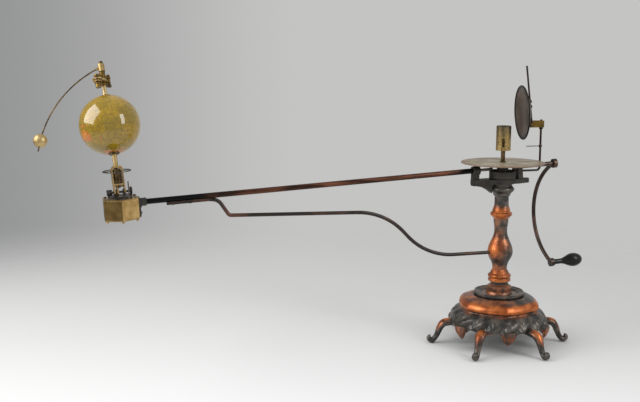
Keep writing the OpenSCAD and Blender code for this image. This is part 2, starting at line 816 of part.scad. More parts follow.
module brace_rivets() color(steel) at_brace_foot()
    for (x = rivet_x) translate([x, 0, -0.8]) {
        cylinder(r = rivet_r, h = brace_foot_t + 0.8);
        cylinder(r = rivet_r + 1, h = 0.8);
    }

// Earth gearbox

module hexagon(side) rotate([0, 0, 30]) circle(r = side, $fn = 6);
module gearbox_case() color(brass) at_box() difference() {
    translate([0, 0, box_z]) linear_extrude(box_h) difference() {
        hexagon(box_side);
        hexagon(box_side - box_wall / cos(30));
    }
    bar_x(0, box_flat + 1, tube_r);
}
// Floor with the fixed pivot that the earth crown turns on
module gearbox_floor() color(brass) at_box() {
    translate([0, 0, box_z - floor_t]) linear_extrude(floor_t) hexagon(box_side);
    translate([0, 0, box_z]) cylinder(r = 6, h = 3);
    translate([0, 0, box_z]) cylinder(r = yoke_pivot_r, h = hub_z - end_gap - box_z);
}
index_r = 0.8;
index_at = (box_flat - 2.6) * [cos(-57), sin(-57)];
module gearbox_lid() color(brass) at_box() translate([0, 0, lid_z]) linear_extrude(lid_t) difference() {
    hexagon(box_side);
    circle(r = yoke_tube_r + run_gap);
    translate(index_at) circle(r = index_r);
}
module index_pin() color(steel) at_box() translate([index_at.x, index_at.y, lid_z])
    cylinder(r = index_r, h = index_h + lid_t);

flange_w = 20;
module gearbox_flange() color(iron) at_box() difference() {
    union() {
        translate([box_flat, -flange_w / 2, box_z]) cube([flange_t, flange_w, box_h]);
        bar_x(box_flat, box_flat + flange_t + boss_len, tube_r + 1.6);
    }
    bar_x(box_flat - 1, box_flat + flange_t, drive_shaft_r + 0.6);
    bar_x(box_flat + flange_t, box_flat + flange_t + boss_len + 1, tube_r);
}
corner_at = box_side - 3.4;
module gearbox_screws() color(steel) at_box() {
    for (a = [30 : 60 : 330]) rotate([0, 0, a]) translate([corner_at, 0, lid_top]) screw_head(1.7, 1.3);
    for (y = [-1, 1], z = [0.2, 0.55])
        translate([box_flat + flange_t, y * (flange_w / 2 - 3), box_z + z * box_h])
            rotate([0, 90, 0]) screw_head(1.6, 1.4);
}
module gearbox_feet() color(brass) at_box()
    for (a = [30 : 60 : 330]) rotate([0, 0, a]) translate([corner_at, 0, box_z - floor_t]) {
        translate([0, 0, -1]) cylinder(r = 1.2, h = 1);
        translate([0, 0, -1.65]) sphere(r = 1.5);
    }

module moon_ring() color(iron) on_yoke() {
    tube_z(lid_top, lid_top + ring_t, ring_r + ring_face / 2, ring_r - ring_face / 2);
    translate([0, 0, ring_pitch_z]) contrate_teeth(ring_teeth, ring_module, ring_face);
}

// Crank side

module crank_shaft() color(bronze) on_crank() {
    bar_x(pinion_out, crank_x - hub_boss_len / 2, crank_shaft_r);
    bar_x(pinion_in, pinion_out, crank_nose_r);
}
module crank_pinion() color(steel) on_crank()
    pinion_x(pinion_in, pinion_len, crank_leaves, main_module, 270, crank_nose_r);

module crank_arm() color(bronze) on_crank() difference() {
    union() {
        bar_x(crank_x - hub_boss_len / 2, crank_x + hub_boss_len / 2, hub_boss_r);
        translate([crank_x, 0, 0]) rotate([0, atan2(crank_tuck, crank_throw), 0])
            rotate([0, 0, bow_angle]) rotate([90, 0, 0])
                translate([bow - bow_r, -crank_chord / 2, 0]) rotate([0, 0, -bow_half])
                    rotate_extrude(angle = 2 * bow_half) translate([bow_r, 0]) circle(r = crank_arm_d / 2);
        translate([0, 0, -crank_throw]) bar_x(collar_x - collar_len / 2, handle_x, collar_r);
    }
    // Flat seats for the shaft's end and for the handle pin
    bar_x(crank_x - 2 * hub_boss_len, crank_x - hub_boss_len / 2, crank_shaft_r);
    translate([0, 0, -crank_throw]) bar_x(handle_x, handle_x + collar_len, pin_r);
}

pin_len = handle_len - 8;
module handle_pin() color(steel) on_crank() translate([0, 0, -crank_throw])
    bar_x(handle_x, handle_x + pin_len, pin_r);

module handle() color(black_wood) on_crank() translate([handle_x + end_gap, 0, -crank_throw])
    rotate([0, 90, 0]) difference() {
        nose = handle_d * 0.72;
        rotate_extrude() polygon(concat(
            [[0, 0]],
            turned([
                [pin_r + 2.4, 0, 1],
                [pin_r + 2.4, 1.5, 2],
                [pin_r + 1.3, 3, 1],
                [pin_r + 1.2, handle_len * 0.24, 8],
                [handle_d / 2, handle_len - nose, 1]
            ]),
            [for (a = [10 : 10 : 80]) [handle_d / 2 * cos(a), handle_len - nose * (1 - sin(a))]],
            [[0, handle_len]]
        ));
        translate([0, 0, -1]) cylinder(r = pin_r + run_gap, h = pin_len + 1 + end_gap);
    }

// Drive shaft through the arm

module drive_shaft() color(steel) on_arm() {
    bar_x(-arm_len + pinion_out, -pinion_out, drive_shaft_r);
    bar_x(-pinion_out, -pinion_in, drive_nose_r);
    bar_x(-arm_len + pinion_in, -arm_len + pinion_out, drive_nose_r);
}
module drive_pinion() color(steel) on_arm()
    pinion_x(-pinion_out, pinion_len, drive_leaves, main_module, 270, drive_nose_r);
module box_pinion() color(steel) on_arm()
    pinion_x(-arm_len + pinion_in, pinion_len, drive_leaves, main_module, 90, drive_nose_r);

// Yoke that carries the tilted earth axis

module earth_crown() color(brass) at_box() {
    difference() {
        union() {
            translate([0, 0, crown_z]) cylinder(r = wheel_out, h = crown_t);
            translate([0, 0, crown_z]) cylinder(r = yoke_tube_r, h = hub_z - crown_z);
        }
        translate([0, 0, crown_z - 1]) cylinder(r = yoke_pivot_r + run_gap, h = hub_z - crown_z + 2);
    }
    translate([0, 0, drive_r]) mirror([0, 0, 1]) contrate_teeth(main_teeth, main_module, main_face);
}

module yoke_hub() color(steel) on_yoke() difference() {
    union() {
        translate([0, 0, hub_z]) cylinder(r = hub_r, h = hub_t);
        for (s = [0, 1]) mirror([s, 0, 0])
            translate([lug_in, -3.5, hub_z]) cube([lug_t, 7, cross_z - hub_z + 3.2]);
    }
    translate([0, 0, cross_z]) bar_x(-hub_r, hub_r, cross_shaft_r + run_gap);
    // Slot for the contrate wheel on the cross arbor
    translate([-lug_in, -cross_r + 0.6, hub_z - 1]) cube([lug_in - 1.2, 2 * cross_r - 1.2, hub_t + 2]);
}

// Flat outline with a square foot and rounded shoulders
module shoulders(w, h, r) {
    translate([-w / 2, 0]) square([w, h - r]);
    translate([-w / 2 + r, 0]) square([w - 2 * r, h]);
    for (s = [-1, 1]) translate([s * (w / 2 - r), h - r]) circle(r = r);
}
leg_foot = 3;
module yoke_arch() color(dark_brass) on_axis() difference() {
    union() {
        translate([0, arch_depth / 2, -leg_foot]) rotate([90, 0, 0]) linear_extrude(arch_depth) difference() {
            shoulders(arch_w, arch_h + leg_foot, arch_round);
            translate([0, -1])
                shoulders(2 * leg_in, arch_h + leg_foot - arch_top_t + 1, arch_round - arch_t);
        }
        // Bridge that holds the foot of the inner arbor
        translate([-leg_in, -arch_depth / 2, bridge_s]) cube([2 * leg_in, arch_depth, bridge_t]);
    }
    bar_x(-arch_w, arch_w, cross_shaft_r + end_gap);
    translate([0, 0, bridge_s - 1]) cylinder(r = arbor_r + run_gap, h = bridge_t + 2);
    translate([0, 0, arch_h - arch_top_t - 1]) cylinder(r = tube_r_out, h = arch_top_t + 2);
}

module arch_screws() color(steel) on_axis()
    for (s = [0, 1], y = [-2.8, 2.8]) mirror([s, 0, 0])
        translate([arch_w / 2, y, 0]) rotate([0, 90, 0]) screw_head(1, 0.8);

module spindle_tube() color(brass) on_axis() {
    tube_z(arch_h - arch_top_t, plate_s + plate_t, tube_r_out, arbor_r + run_gap);
    tube_z(arch_h, south_s - cap_t - end_gap, sleeve_r, tube_r_out - 0.5);
    tube_z(north_s + cap_t + end_gap, north_s + cap_t + end_gap + 2, sleeve_r, tube_r_out - 0.5);
}

ring_s = arch_h - arch_round - 2;
ring_wall = 1.4;
module hour_ring() color(steel) on_yoke()
    translate([0, ring_s * sin(axis_tilt), cross_z + ring_s * cos(axis_tilt) - 0.5]) {
        tube_z(0, 1, hour_ring_d / 2, hour_ring_d / 2 - ring_wall);
        for (s = [0, 1]) mirror([s, 0, 0])
            translate([arch_w / 2, -1.2, 0]) cube([hour_ring_d / 2 - arch_w / 2 - ring_wall / 2, 2.4, 1]);
    }

idler_foot = 4.5;
idler_boss_r = 3.2;
module bracket_plate(s, t, centre_r, bore) translate([0, 0, s]) linear_extrude(t) difference() {
    union() {
        circle(r = centre_r);
        rotate(idler_angle) translate([0, -2.5]) square([idler_dist, 5]);
        rotate(idler_angle) translate([idler_dist, 0]) circle(r = idler_boss_r + 0.4);
        rotate(idler_angle + 180) translate([0, -bracket_post_r]) square([post_dist, 2 * bracket_post_r]);
        rotate(idler_angle + 180) translate([post_dist, 0]) circle(r = bracket_post_r + 0.6);
    }
    circle(r = bore);
    rotate(idler_angle) translate([idler_dist, 0]) circle(r = idler_r + run_gap);
}
module moon_bracket() color(dark_brass) on_axis() {
    bracket_plate(plate_s, plate_t, tube_r_out + 2.2, tube_r_out);
    bracket_plate(upper_s, upper_t, moon_tube_r + 2, moon_tube_r + run_gap);
    tube_z(upper_s + upper_t, upper_s + upper_t + collar_t, moon_tube_r + 1.2, moon_tube_r + run_gap);
    at_idler() tube_z(plate_s - idler_foot, plate_s, idler_boss_r, idler_r + run_gap);
    rotate([0, 0, idler_angle + 180]) translate([post_dist, 0, plate_s])
        cylinder(r = bracket_post_r, h = upper_s + upper_t - plate_s + 3);
}

// Cross arbor, inner arbor and moon wheels

arbor_left = -ring_r - 2;
arbor_right = ring_r + ring_face / 2 + 0.3;
module cross_arbor() color(steel) on_yoke() translate([0, 0, cross_z])
    bar_x(arbor_left, arbor_right, cross_shaft_r);
module roller_pinion() color(iron) on_yoke() translate([0, 0, cross_z])
    pinion_x(ring_r - ring_face / 2, ring_face, roller_leaves, ring_module, 270, cross_shaft_r);
module arbor_collar() color(iron) on_yoke() translate([0, 0, cross_z])
    tube_x(arbor_left, arbor_left + 6.2, roller_r - 1.2, cross_shaft_r);
module cross_contrate() color(brass) on_axis()
    translate([-inner_r, 0, 0]) rotate([0, 90, 0]) rotate([0, 0, 180]) {
        root = root_share * moon_module;
        tube_z(-root - 1.1, -root, cross_r + inner_face / 2, cross_shaft_r);
        contrate_teeth(cross_teeth, moon_module, inner_face);
    }

arbor_top = moon_boss_s + moon_boss_h - 0.5;
module inner_arbor() color(steel) on_axis() {
    translate([0, 0, arbor_end]) cylinder(r = arbor_r, h = arbor_top - arbor_end);
    gear_z(cross_r - inner_face / 2, inner_face, inner_leaves, moon_module, 180, arbor_r / 2);
}
// Knurled drum for setting the moon by hand
setting_r = leg_in - 0.6;
setting_s = bridge_s + bridge_t + 1.5;
setting_h = arch_h - arch_top_t - 1.5 - setting_s;
setting_ridges = 24;
module setting_wheel() color(bronze) on_axis()
    gear_z(setting_s, setting_h, setting_ridges, setting_r / (setting_ridges / 2 + tip_share), 0, arbor_r);
module head_wheel() color(brass) on_axis()
    gear_z(level_one, wheel_t, head_teeth, moon_module, idler_angle, arbor_r);

module idler_arbor() color(steel) on_axis() at_idler()
    translate([0, 0, plate_s - idler_foot])
        cylinder(r = idler_r, h = upper_s + upper_t - plate_s + idler_foot);
// The idler wheels have a tooth, not a gap, towards the centre
function tooth_towards(a, teeth) = a - 180 / teeth;
module idler_wheels() color(brass) on_axis() at_idler() {
    gear_z(level_one, wheel_t, idler_low_teeth, moon_module, tooth_towards(180, idler_low_teeth), idler_r);
    tube_z(level_one + wheel_t, level_two, idler_r + 1, idler_r);
    difference() {
        gear_z(level_two, wheel_t, idler_high_teeth, moon_module,
               tooth_towards(180, idler_high_teeth), idler_r);
        for (a = [60 : 120 : 300]) rotate([0, 0, a]) translate([3.5, 0, level_two - 1])
            cylinder(r = 1, h = wheel_t + 2);
    }
}

// Moon wire: an arc from the hub's stub to the moon, in a plane through the tilted axis
wire_from = [moon_boss_r + 4, wire_s];
moon_at = [moon_reach, globe_s - moon_drop];
wire_chord = moon_at - wire_from;
wire_out = [-wire_chord.y, wire_chord.x] / norm(wire_chord);
wire_centre = (wire_from + moon_at) / 2 - wire_out * sqrt(wire_curve_r ^ 2 - (norm(wire_chord) / 2) ^ 2);
wire_first = atan2(wire_from.y - wire_centre.y, wire_from.x - wire_centre.x);
wire_last = atan2(moon_at.y - wire_centre.y, moon_at.x - wire_centre.x) - wire_tail / wire_curve_r * 180 / PI;

module moon_arc() rotate([90, 0, 0]) translate(wire_centre) rotate([0, 0, wire_last])
    rotate_extrude(angle = wire_first - wire_last) translate([wire_curve_r, 0]) circle(r = wire_r);

module moon_hub() color(brass) {
    on_axis() gear_z(level_two, wheel_t, moon_teeth, moon_module, idler_angle, arbor_r + run_gap);
    on_axis() tube_z(level_two + wheel_t, moon_boss_s, moon_tube_r, arbor_r + run_gap);
    on_moon() difference() {
        union() {
            translate([0, 0, moon_boss_s]) cylinder(r = moon_boss_r, h = moon_boss_h);
            // Stub that the wire butts against, along the wire's first direction
            translate([wire_from.x, 0, wire_from.y])
                rotate([0, atan2(-cos(wire_first), -sin(wire_first)), 0]) bar_x(0, 6, wire_r + 0.7);
        }
        translate([0, 0, moon_boss_s - 1]) cylinder(r = arbor_r + run_gap, h = moon_boss_h + 2);
    }
}
module moon_cap() color(dark_brass) on_axis() translate([0, 0, moon_boss_s + moon_boss_h]) {
    cylinder(r = 2.8, h = moon_cap_h - 1);
    cylinder(r = 1.9, h = moon_cap_h);
}
module moon_wire() color(dark_brass) on_moon() moon_arc();
module moon_ball() color(brass) on_moon() difference() {
    translate([moon_at.x, 0, moon_at.y]) sphere(r = moon_d / 2);
    moon_arc();
}

// Globe

module globe() color(ochre) on_axis() translate([0, 0, globe_s]) difference() {
    sphere(r = globe_r);
    sphere(r = globe_r - globe_wall);
    translate([0, 0, -globe_d]) cylinder(r = pole_r, h = 2 * globe_d);
}
module globe_cap() difference() {
    union() {
        intersection() {
            sphere(r = globe_r + cap_t);
            translate([0, 0, globe_r / 2]) cylinder(r = cap_r, h = globe_r);
        }
    }
    difference() {
        sphere(r = globe_r);
        cylinder(r = pole_r, h = globe_d);
    }
    cylinder(r = cap_r + 1, h = globe_r - globe_wall - 1.5);
    cylinder(r = tube_r_out + run_gap, h = globe_d);
}
module globe_caps() color(dark_brass) on_axis() translate([0, 0, globe_s])
    for (s = [0, 1]) mirror([0, 0, s]) globe_cap();

// Reflector

module reflector_post() color(bronze) translate([0, post_y, 0]) {
    bent_rod([[fork_x + fork_len, post_leg_z], [post_x, post_leg_z],
              [post_x, block_low + block_h + 1.5]], [5], post_r);
    // Collar that carries the swivel block
    translate([post_x, 0, block_low - end_gap - 2.2]) cylinder(r = post_r + 1.1, h = 2.2);
}

module date_pointer() color(bronze) translate([post_x, post_y, disc_top + needle_z]) {
    tube_z(-1.5, 1.5, post_r + 0.9, post_r);
    bar_x(-needle_len, -post_r - 0.4, 0.6);
}

module swivel_block() color(brass) on_post() {
    difference() {
        translate([block_right - block_len, -block_w / 2, block_low]) cube([block_len, block_w, block_h]);
        translate([0, 0, block_low - 1]) cylinder(r = post_r + run_gap, h = block_h + 2);
    }
    // Pivot pin of the mirror rod, with its head
    translate([pivot_at, -block_w / 2, pivot_z]) rotate([90, 0, 0]) {
        cylinder(r = pivot_r, h = eye_t + 2 * end_gap);
        translate([0, 0, eye_t + 2 * end_gap]) cylinder(r = pivot_r + 0.9, h = 1);
    }
}

module mirror_rod() color(bronze) on_rod() difference() {
    union() {
        translate([0, eye_t / 2, 0]) rotate([90, 0, 0]) cylinder(r = eye_r, h = eye_t);
        cylinder(r = rod_r, h = rod_len);
    }
    translate([0, eye_t, 0]) rotate([90, 0, 0]) cylinder(r = pivot_r + run_gap, h = 2 * eye_t);
}

// The mirror faces the candle: +Z of this frame is its face normal, and the rod runs behind it
module at_mirror() translate([0, 0, mirror_h]) rotate([0, mirror_back - 90, 0]) children();
module on_mirror() on_rod() at_mirror() children();
dish_z = mirror_off - dish_depth + dish_r;
rim_bead = 1.1;
module mirror_dish() color(steel) on_mirror() {
    difference() {
        intersection() {
            translate([0, 0, dish_z]) sphere(r = dish_r + mirror_t);
            cylinder(r = mirror_d / 2 - rim_bead, h = mirror_off);
        }
        translate([0, 0, dish_z]) sphere(r = dish_r);
    }
    rotate_extrude() translate([mirror_d / 2 - rim_bead, mirror_off - rim_bead]) circle(r = rim_bead);
}

module mirror_clips() color(iron) on_rod() difference() {
    for (h = clip_h) translate([0, 0, mirror_h + h - 1.8]) {
        cylinder(r = rod_r + 1.3, h = 3.6);
        translate([0, 0, 1.8]) bar_x(-mirror_off + 2, 0, 1.6);
    }
    at_mirror() translate([0, 0, dish_z]) sphere(r = dish_r + mirror_t);
    translate([0, 0, mirror_h]) cylinder(r = rod_r + run_gap, h = rod_len);
}

base_casting();
base_pan();
thrust_washer();
spindle();
spindle_nut();
contrate_wheel();
calendar_disc();
candle_stem();
candle_socket();
column();
head_bracket();
head_screws();
arm_tube();
arm_bushes();
brace_rod();
brace_rivets();
gearbox_case();
gearbox_lid();
gearbox_floor();
gearbox_flange();
gearbox_screws();
gearbox_feet();
moon_ring();
index_pin();
reflector_post();
date_pointer();
crank_shaft();
crank_pinion();
crank_arm();
handle_pin();
handle();
drive_shaft();
drive_pinion();
box_pinion();
earth_crown();
yoke_hub();
yoke_arch();
arch_screws();
spindle_tube();
hour_ring();
moon_bracket();
cross_arbor();
roller_pinion();
cross_contrate();
arbor_collar();
inner_arbor();
setting_wheel();
head_wheel();
idler_arbor();
idler_wheels();
moon_hub();
moon_cap();
moon_wire();
moon_ball();
globe();
globe_caps();
swivel_block();
mirror_rod();
mirror_dish();
mirror_clips();
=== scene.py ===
# %% [markdown]
# A tellurion is a hand-cranked model of the earth and moon going round the sun.
# A candle stands for the sun, a long arm carries a small globe round it, and the moon rides on a wire.
# The CAD model already holds every wheel, shaft and joint in its place, in metres.
# This lesson dresses it: turned and cast pieces are modelled again with softer forms, and every
# piece gets a finish. The frame is loaded first.

# %% Load the frame
import math

import bpy
import numpy as np
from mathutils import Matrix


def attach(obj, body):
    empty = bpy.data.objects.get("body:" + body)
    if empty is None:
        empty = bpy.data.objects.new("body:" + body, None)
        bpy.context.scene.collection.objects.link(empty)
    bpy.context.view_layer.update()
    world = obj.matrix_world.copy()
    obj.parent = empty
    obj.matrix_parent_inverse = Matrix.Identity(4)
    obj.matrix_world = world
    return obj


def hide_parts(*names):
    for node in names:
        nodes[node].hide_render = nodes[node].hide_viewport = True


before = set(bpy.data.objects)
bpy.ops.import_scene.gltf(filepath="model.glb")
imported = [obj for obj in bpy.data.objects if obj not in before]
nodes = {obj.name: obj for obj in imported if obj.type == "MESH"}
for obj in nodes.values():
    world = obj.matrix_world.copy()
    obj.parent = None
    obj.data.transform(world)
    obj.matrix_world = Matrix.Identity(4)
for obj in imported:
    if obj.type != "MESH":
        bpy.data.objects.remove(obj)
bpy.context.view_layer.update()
bpy.ops.object.select_all(action="DESELECT")
scene = bpy.context.scene
scene.view_settings.view_transform = "Standard"
MM = 0.001

# %% [markdown]
# The camera stands where the photographer stood: left of the column, a little above the globe.
# Its place and angle were found by fitting known points of the object to the picture.
# A lens length follows from the focal distance in pixels and the width of the sensor.

# %% Camera
IMAGE_W = 640
FOCAL_PX = 936
SENSOR_MM = 36
CAMERA_AT = (-0.5983, -1.1836, 0.4141)
CAMERA_DIP = 9.1
CAMERA_TURN = -15.7
camera_angles = (math.radians(90 - CAMERA_DIP), 0, math.radians(CAMERA_TURN))
bpy.ops.object.camera_add(location=CAMERA_AT, rotation=camera_angles)
camera = bpy.context.object
camera.name = "camera"
camera.data.sensor_width = SENSOR_MM
camera.data.lens = SENSOR_MM * FOCAL_PX / IMAGE_W
camera.data.clip_start = 0.01
scene.camera = camera
print("lens", round(camera.data.lens, 2))

# %% [markdown]
# Nodes are wired many times below, so a few small helpers keep that short.
# The first adds a node, sets its options and fills its inputs: a value is set, a socket is linked.
# The others each do one step: arithmetic, a soft ramp, a blend of two colours, and the place of a point.


# %% Node helpers
def add_node(tree, kind, inputs=None, **options):
    made = tree.nodes.new("ShaderNode" + kind)
    for name, value in options.items():
        setattr(made, name, value)
    for key, value in (inputs or {}).items():
        if isinstance(value, bpy.types.NodeSocket):
            tree.links.new(value, made.inputs[key])
        else:
            made.inputs[key].default_value = value
    return made


def calc(tree, operation, a, b=0.0, c=0.0):
    made = add_node(tree, "Math", {0: a, 1: b, 2: c}, operation=operation)
    return made.outputs[0]


def ramp(tree, value, low, high, to_low=0.0, to_high=1.0):
    limits = {0: value, 1: low, 2: high, 3: to_low, 4: to_high}
    return add_node(tree, "MapRange", limits, interpolation_type="SMOOTHSTEP").outputs[0]


def blend_colour(tree, share, first, second):
    made = add_node(tree, "Mix", {0: share, 6: first, 7: second}, data_type="RGBA")
    return made.outputs[2]


def object_place(tree):
    """The point being shaded, in its object's own coordinates."""
    return add_node(tree, "TexCoord").outputs["Object"]


def rgb(red, green, blue):
    """A colour as seen on a screen, 0 to 255, made linear for the shader."""
    parts = [v / 255 for v in (red, green, blue)]
    return tuple(v / 12.92 if v <= 0.04045 else ((v + 0.055) / 1.055) ** 2.4 for v in parts) + (1.0,)


print("helpers ready")

# %% [markdown]
# The studio is a pale floor and a grey surround, with no wall, so the object can be seen from all sides.
# The floor is a plane with painted shade: palest in front, greyer behind, and greyer again under the left
# lamp, which would bleach it. Its material fades to clear far off, so that floor and surround meet without an
# edge, as they do on a paper sweep. The surround is darker on the left, as in the picture, and polished metal
# shows that difference on its faces.

# %% Floor and surround
FLOOR_SIZE = 9
FLOOR_Z = -0.0003
FRONT = (-0.45, -0.7, 0)
bpy.ops.mesh.primitive_plane_add(size=FLOOR_SIZE, location=(0, 0, FLOOR_Z))
floor = bpy.context.object
floor.name = "studio_floor"
bpy.ops.object.transform_apply(location=True)
floor_look = bpy.data.materials.new("pale_paper")
floor_look.use_nodes = True
tree = floor_look.node_tree
shader = tree.nodes["Principled BSDF"]
shader.inputs["Roughness"].default_value = 0.9
place = object_place(tree)
middle = add_node(tree, "VectorMath", {0: place, 1: FRONT}, operation="SUBTRACT").outputs[0]
away = add_node(tree, "VectorMath", {0: middle}, operation="LENGTH").outputs["Value"]
# painted shade: the floor greys away from the front, and again under the left lamp
painted_falloff = ramp(tree, away, 0.45, 1.15)
paper = blend_colour(tree, painted_falloff, rgb(208, 208, 208), rgb(181, 181, 180))
across = add_node(tree, "SeparateXYZ", {0: place}).outputs[0]
near_lamp = ramp(tree, across, -1.2, -0.7, 1.0, 0.0)
tree.links.new(blend_colour(tree, near_lamp, paper, rgb(158, 158, 158)), shader.inputs["Base Color"])
to_left = ramp(tree, across, -1.7, -1.0, 1.0, 0.0)
fade = calc(tree, "MAXIMUM", ramp(tree, away, 1.0, 1.9), to_left)
clear = add_node(tree, "BsdfTransparent")
both = add_node(tree, "MixShader", {0: fade, 1: shader.outputs[0], 2: clear.outputs[0]})
tree.links.new(both.outputs[0], tree.nodes["Material Output"].inputs["Surface"])
floor.data.materials.append(floor_look)

PICTURE_RIGHT = (0.963, -0.271, 0)
AMBIENT = (0.7, 0.7, 0.7, 1)
world = bpy.data.worlds.new("studio")
scene.world = world
world.use_nodes = True
tree = world.node_tree
back = tree.nodes["Background"]
direction = add_node(tree, "TexCoord").outputs["Generated"]
side = add_node(tree, "VectorMath", {0: direction, 1: PICTURE_RIGHT}, operation="DOT_PRODUCT")
near_left = ramp(tree, side.outputs["Value"], -0.36, 0.0)
far_left = ramp(tree, side.outputs["Value"], -0.95, -0.36)
seen = blend_colour(tree, near_left, rgb(148, 149, 149), rgb(196, 196, 195))
seen = blend_colour(tree, far_left, rgb(112, 112, 112), seen)
rays = add_node(tree, "LightPath").outputs
direct = calc(tree, "MAXIMUM", rays["Is Camera Ray"], rays["Is Transmission Ray"])
direct = calc(tree, "MAXIMUM", direct, rays["Is Glossy Ray"])
tree.links.new(blend_colour(tree, direct, AMBIENT, seen), back.inputs["Color"])
print("floor and surround ready")

# %% [markdown]
# Two soft boxes light the object, as their reflections on the varnished globe show:
# a wide one high on the left, and a narrow one on the right. A third from above keeps the floor pale;
# it gives no reflections, because the picture shows none of it on the globe.


# %% Lamps
def soft_box(name, at, towards, width, height, power):
    bpy.ops.object.light_add(type="AREA", location=at)
    lamp = bpy.context.object
    lamp.name = name
    lamp.data.shape = "RECTANGLE"
    lamp.data.size = width
    lamp.data.size_y = height
    lamp.data.energy = power
    aim = np.array(towards) - np.array(at)
    flat = math.hypot(aim[0], aim[1])
    lamp.rotation_euler = (math.atan2(flat, -aim[2]), 0, math.atan2(-aim[0], aim[1]))
    return lamp


soft_box("left_box", (-1.50, 0.02, 0.90), (-0.40, 0, 0.25), 1.1, 1.1, 20)
soft_box("right_box", (0.75, -1.05, 1.00), (-0.1, 0, 0.2), 0.45, 1.1, 10)
top_box = soft_box("top_box", (-0.2, 0.1, 1.9), (-0.2, 0, 0), 2.6, 2.0, 10)
top_box.visible_glossy = False

# %% [markdown]
# Old metal is never one colour. A node group, built once and shared, makes its weathering:
# broad patches where lacquer has thinned, fine specks, and a height for the bump.
# A second group stretches noise along one direction, for rods that were drawn and wiped lengthways.


# %% Weathering groups
def new_group(name, inputs, outputs):
    group = bpy.data.node_groups.new(name, "ShaderNodeTree")
    for label, value in inputs.items():
        kind = "NodeSocketVector" if isinstance(value, tuple) else "NodeSocketFloat"
        group.interface.new_socket(name=label, in_out="INPUT", socket_type=kind).default_value = value
    for label in outputs:
        group.interface.new_socket(name=label, in_out="OUTPUT", socket_type="NodeSocketFloat")
    return group, group.nodes.new("NodeGroupInput"), group.nodes.new("NodeGroupOutput")


weathering, given, result = new_group("weathering", {"Scale": 60.0}, ("Patches", "Specks", "Height"))
place = object_place(weathering)
broad = add_node(weathering, "TexNoise", {"Vector": place, "Scale": given.outputs["Scale"], "Detail": 5.0})
fine_scale = calc(weathering, "MULTIPLY", given.outputs["Scale"], 9.0)
fine = add_node(weathering, "TexNoise", {"Vector": place, "Scale": fine_scale, "Detail": 3.0})
weathering.links.new(ramp(weathering, broad.outputs[0], 0.36, 0.66), result.inputs["Patches"])
weathering.links.new(ramp(weathering, fine.outputs[0], 0.4, 0.7), result.inputs["Specks"])
height = calc(weathering, "MULTIPLY_ADD", broad.outputs[0], 0.5, fine.outputs[0])
weathering.links.new(height, result.inputs["Height"])

streaking, given, result = new_group("streaking", {"Stretch": (30.0, 300.0, 300.0)}, ("Streaks", "Height"))
place = object_place(streaking)
drawn = add_node(streaking, "VectorMath", {0: place, 1: given.outputs["Stretch"]}, operation="MULTIPLY")
lines = add_node(streaking, "TexNoise", {"Vector": drawn.outputs[0], "Scale": 1.0, "Detail": 6.0})
streaking.links.new(ramp(streaking, lines.outputs[0], 0.38, 0.68), result.inputs["Streaks"])
streaking.links.new(lines.outputs[0], result.inputs["Height"])
print("groups", [g.name for g in bpy.data.node_groups])

# %% [markdown]
# A finish is a material that mixes two colours by the weathering, and lets roughness follow the same mask.
# Bump comes from the group's height, small enough to catch light without breaking the outline.


# %% Finish helper
def place_group(tree, group, **values):
    made = tree.nodes.new("ShaderNodeGroup")
    made.node_tree = group
    for name, value in values.items():
        made.inputs[name].default_value = value
    return made.outputs


def new_look(name, metallic, coat=0.0, coat_rough=0.1):
    look = bpy.data.materials.new(name)
    look.use_nodes = True
    shader = look.node_tree.nodes["Principled BSDF"]
    shader.inputs["Metallic"].default_value = metallic
    shader.inputs["Coat Weight"].default_value = coat
    shader.inputs["Coat Roughness"].default_value = coat_rough
    return look, look.node_tree, shader


def bump(tree, shader, height, strength, distance=0.0004):
    made = add_node(tree, "Bump", {"Height": height, "Strength": strength, "Distance": distance})
    tree.links.new(made.outputs[0], shader.inputs["Normal"])


def aged_metal(name, main, worn, metallic, rough, scale, relief=0.25, coat=0.0):
    look, tree, shader = new_look(name, metallic, coat)
    age = place_group(tree, weathering, Scale=scale)
    share = calc(tree, "MULTIPLY_ADD", age["Specks"], 0.35, age["Patches"])
    share = calc(tree, "MULTIPLY", share, 0.75)
    tree.links.new(blend_colour(tree, share, main, worn), shader.inputs["Base Color"])
    tree.links.new(ramp(tree, share, 0, 1, rough[0], rough[1]), shader.inputs["Roughness"])
    bump(tree, shader, age["Height"], relief)
    return look


def drawn_rod(name, main, worn, metallic, rough, stretch, relief=0.15):
    look, tree, shader = new_look(name, metallic, 0.15)
    age = place_group(tree, streaking, Stretch=stretch)
    patch = place_group(tree, weathering, Scale=18.0)
    share = calc(tree, "MULTIPLY", age["Streaks"], patch["Patches"])
    tree.links.new(blend_colour(tree, share, main, worn), shader.inputs["Base Color"])
    tree.links.new(ramp(tree, share, 0, 1, rough[0], rough[1]), shader.inputs["Roughness"])
    bump(tree, shader, age["Height"], relief)
    return look


print("finish helpers ready")

# %% [markdown]
# Brass, iron and steel each come in a few states of age on this object: bright where hands rub,
# dark where lacquer and dirt stay. Giving each state its own colours keeps the pieces apart.

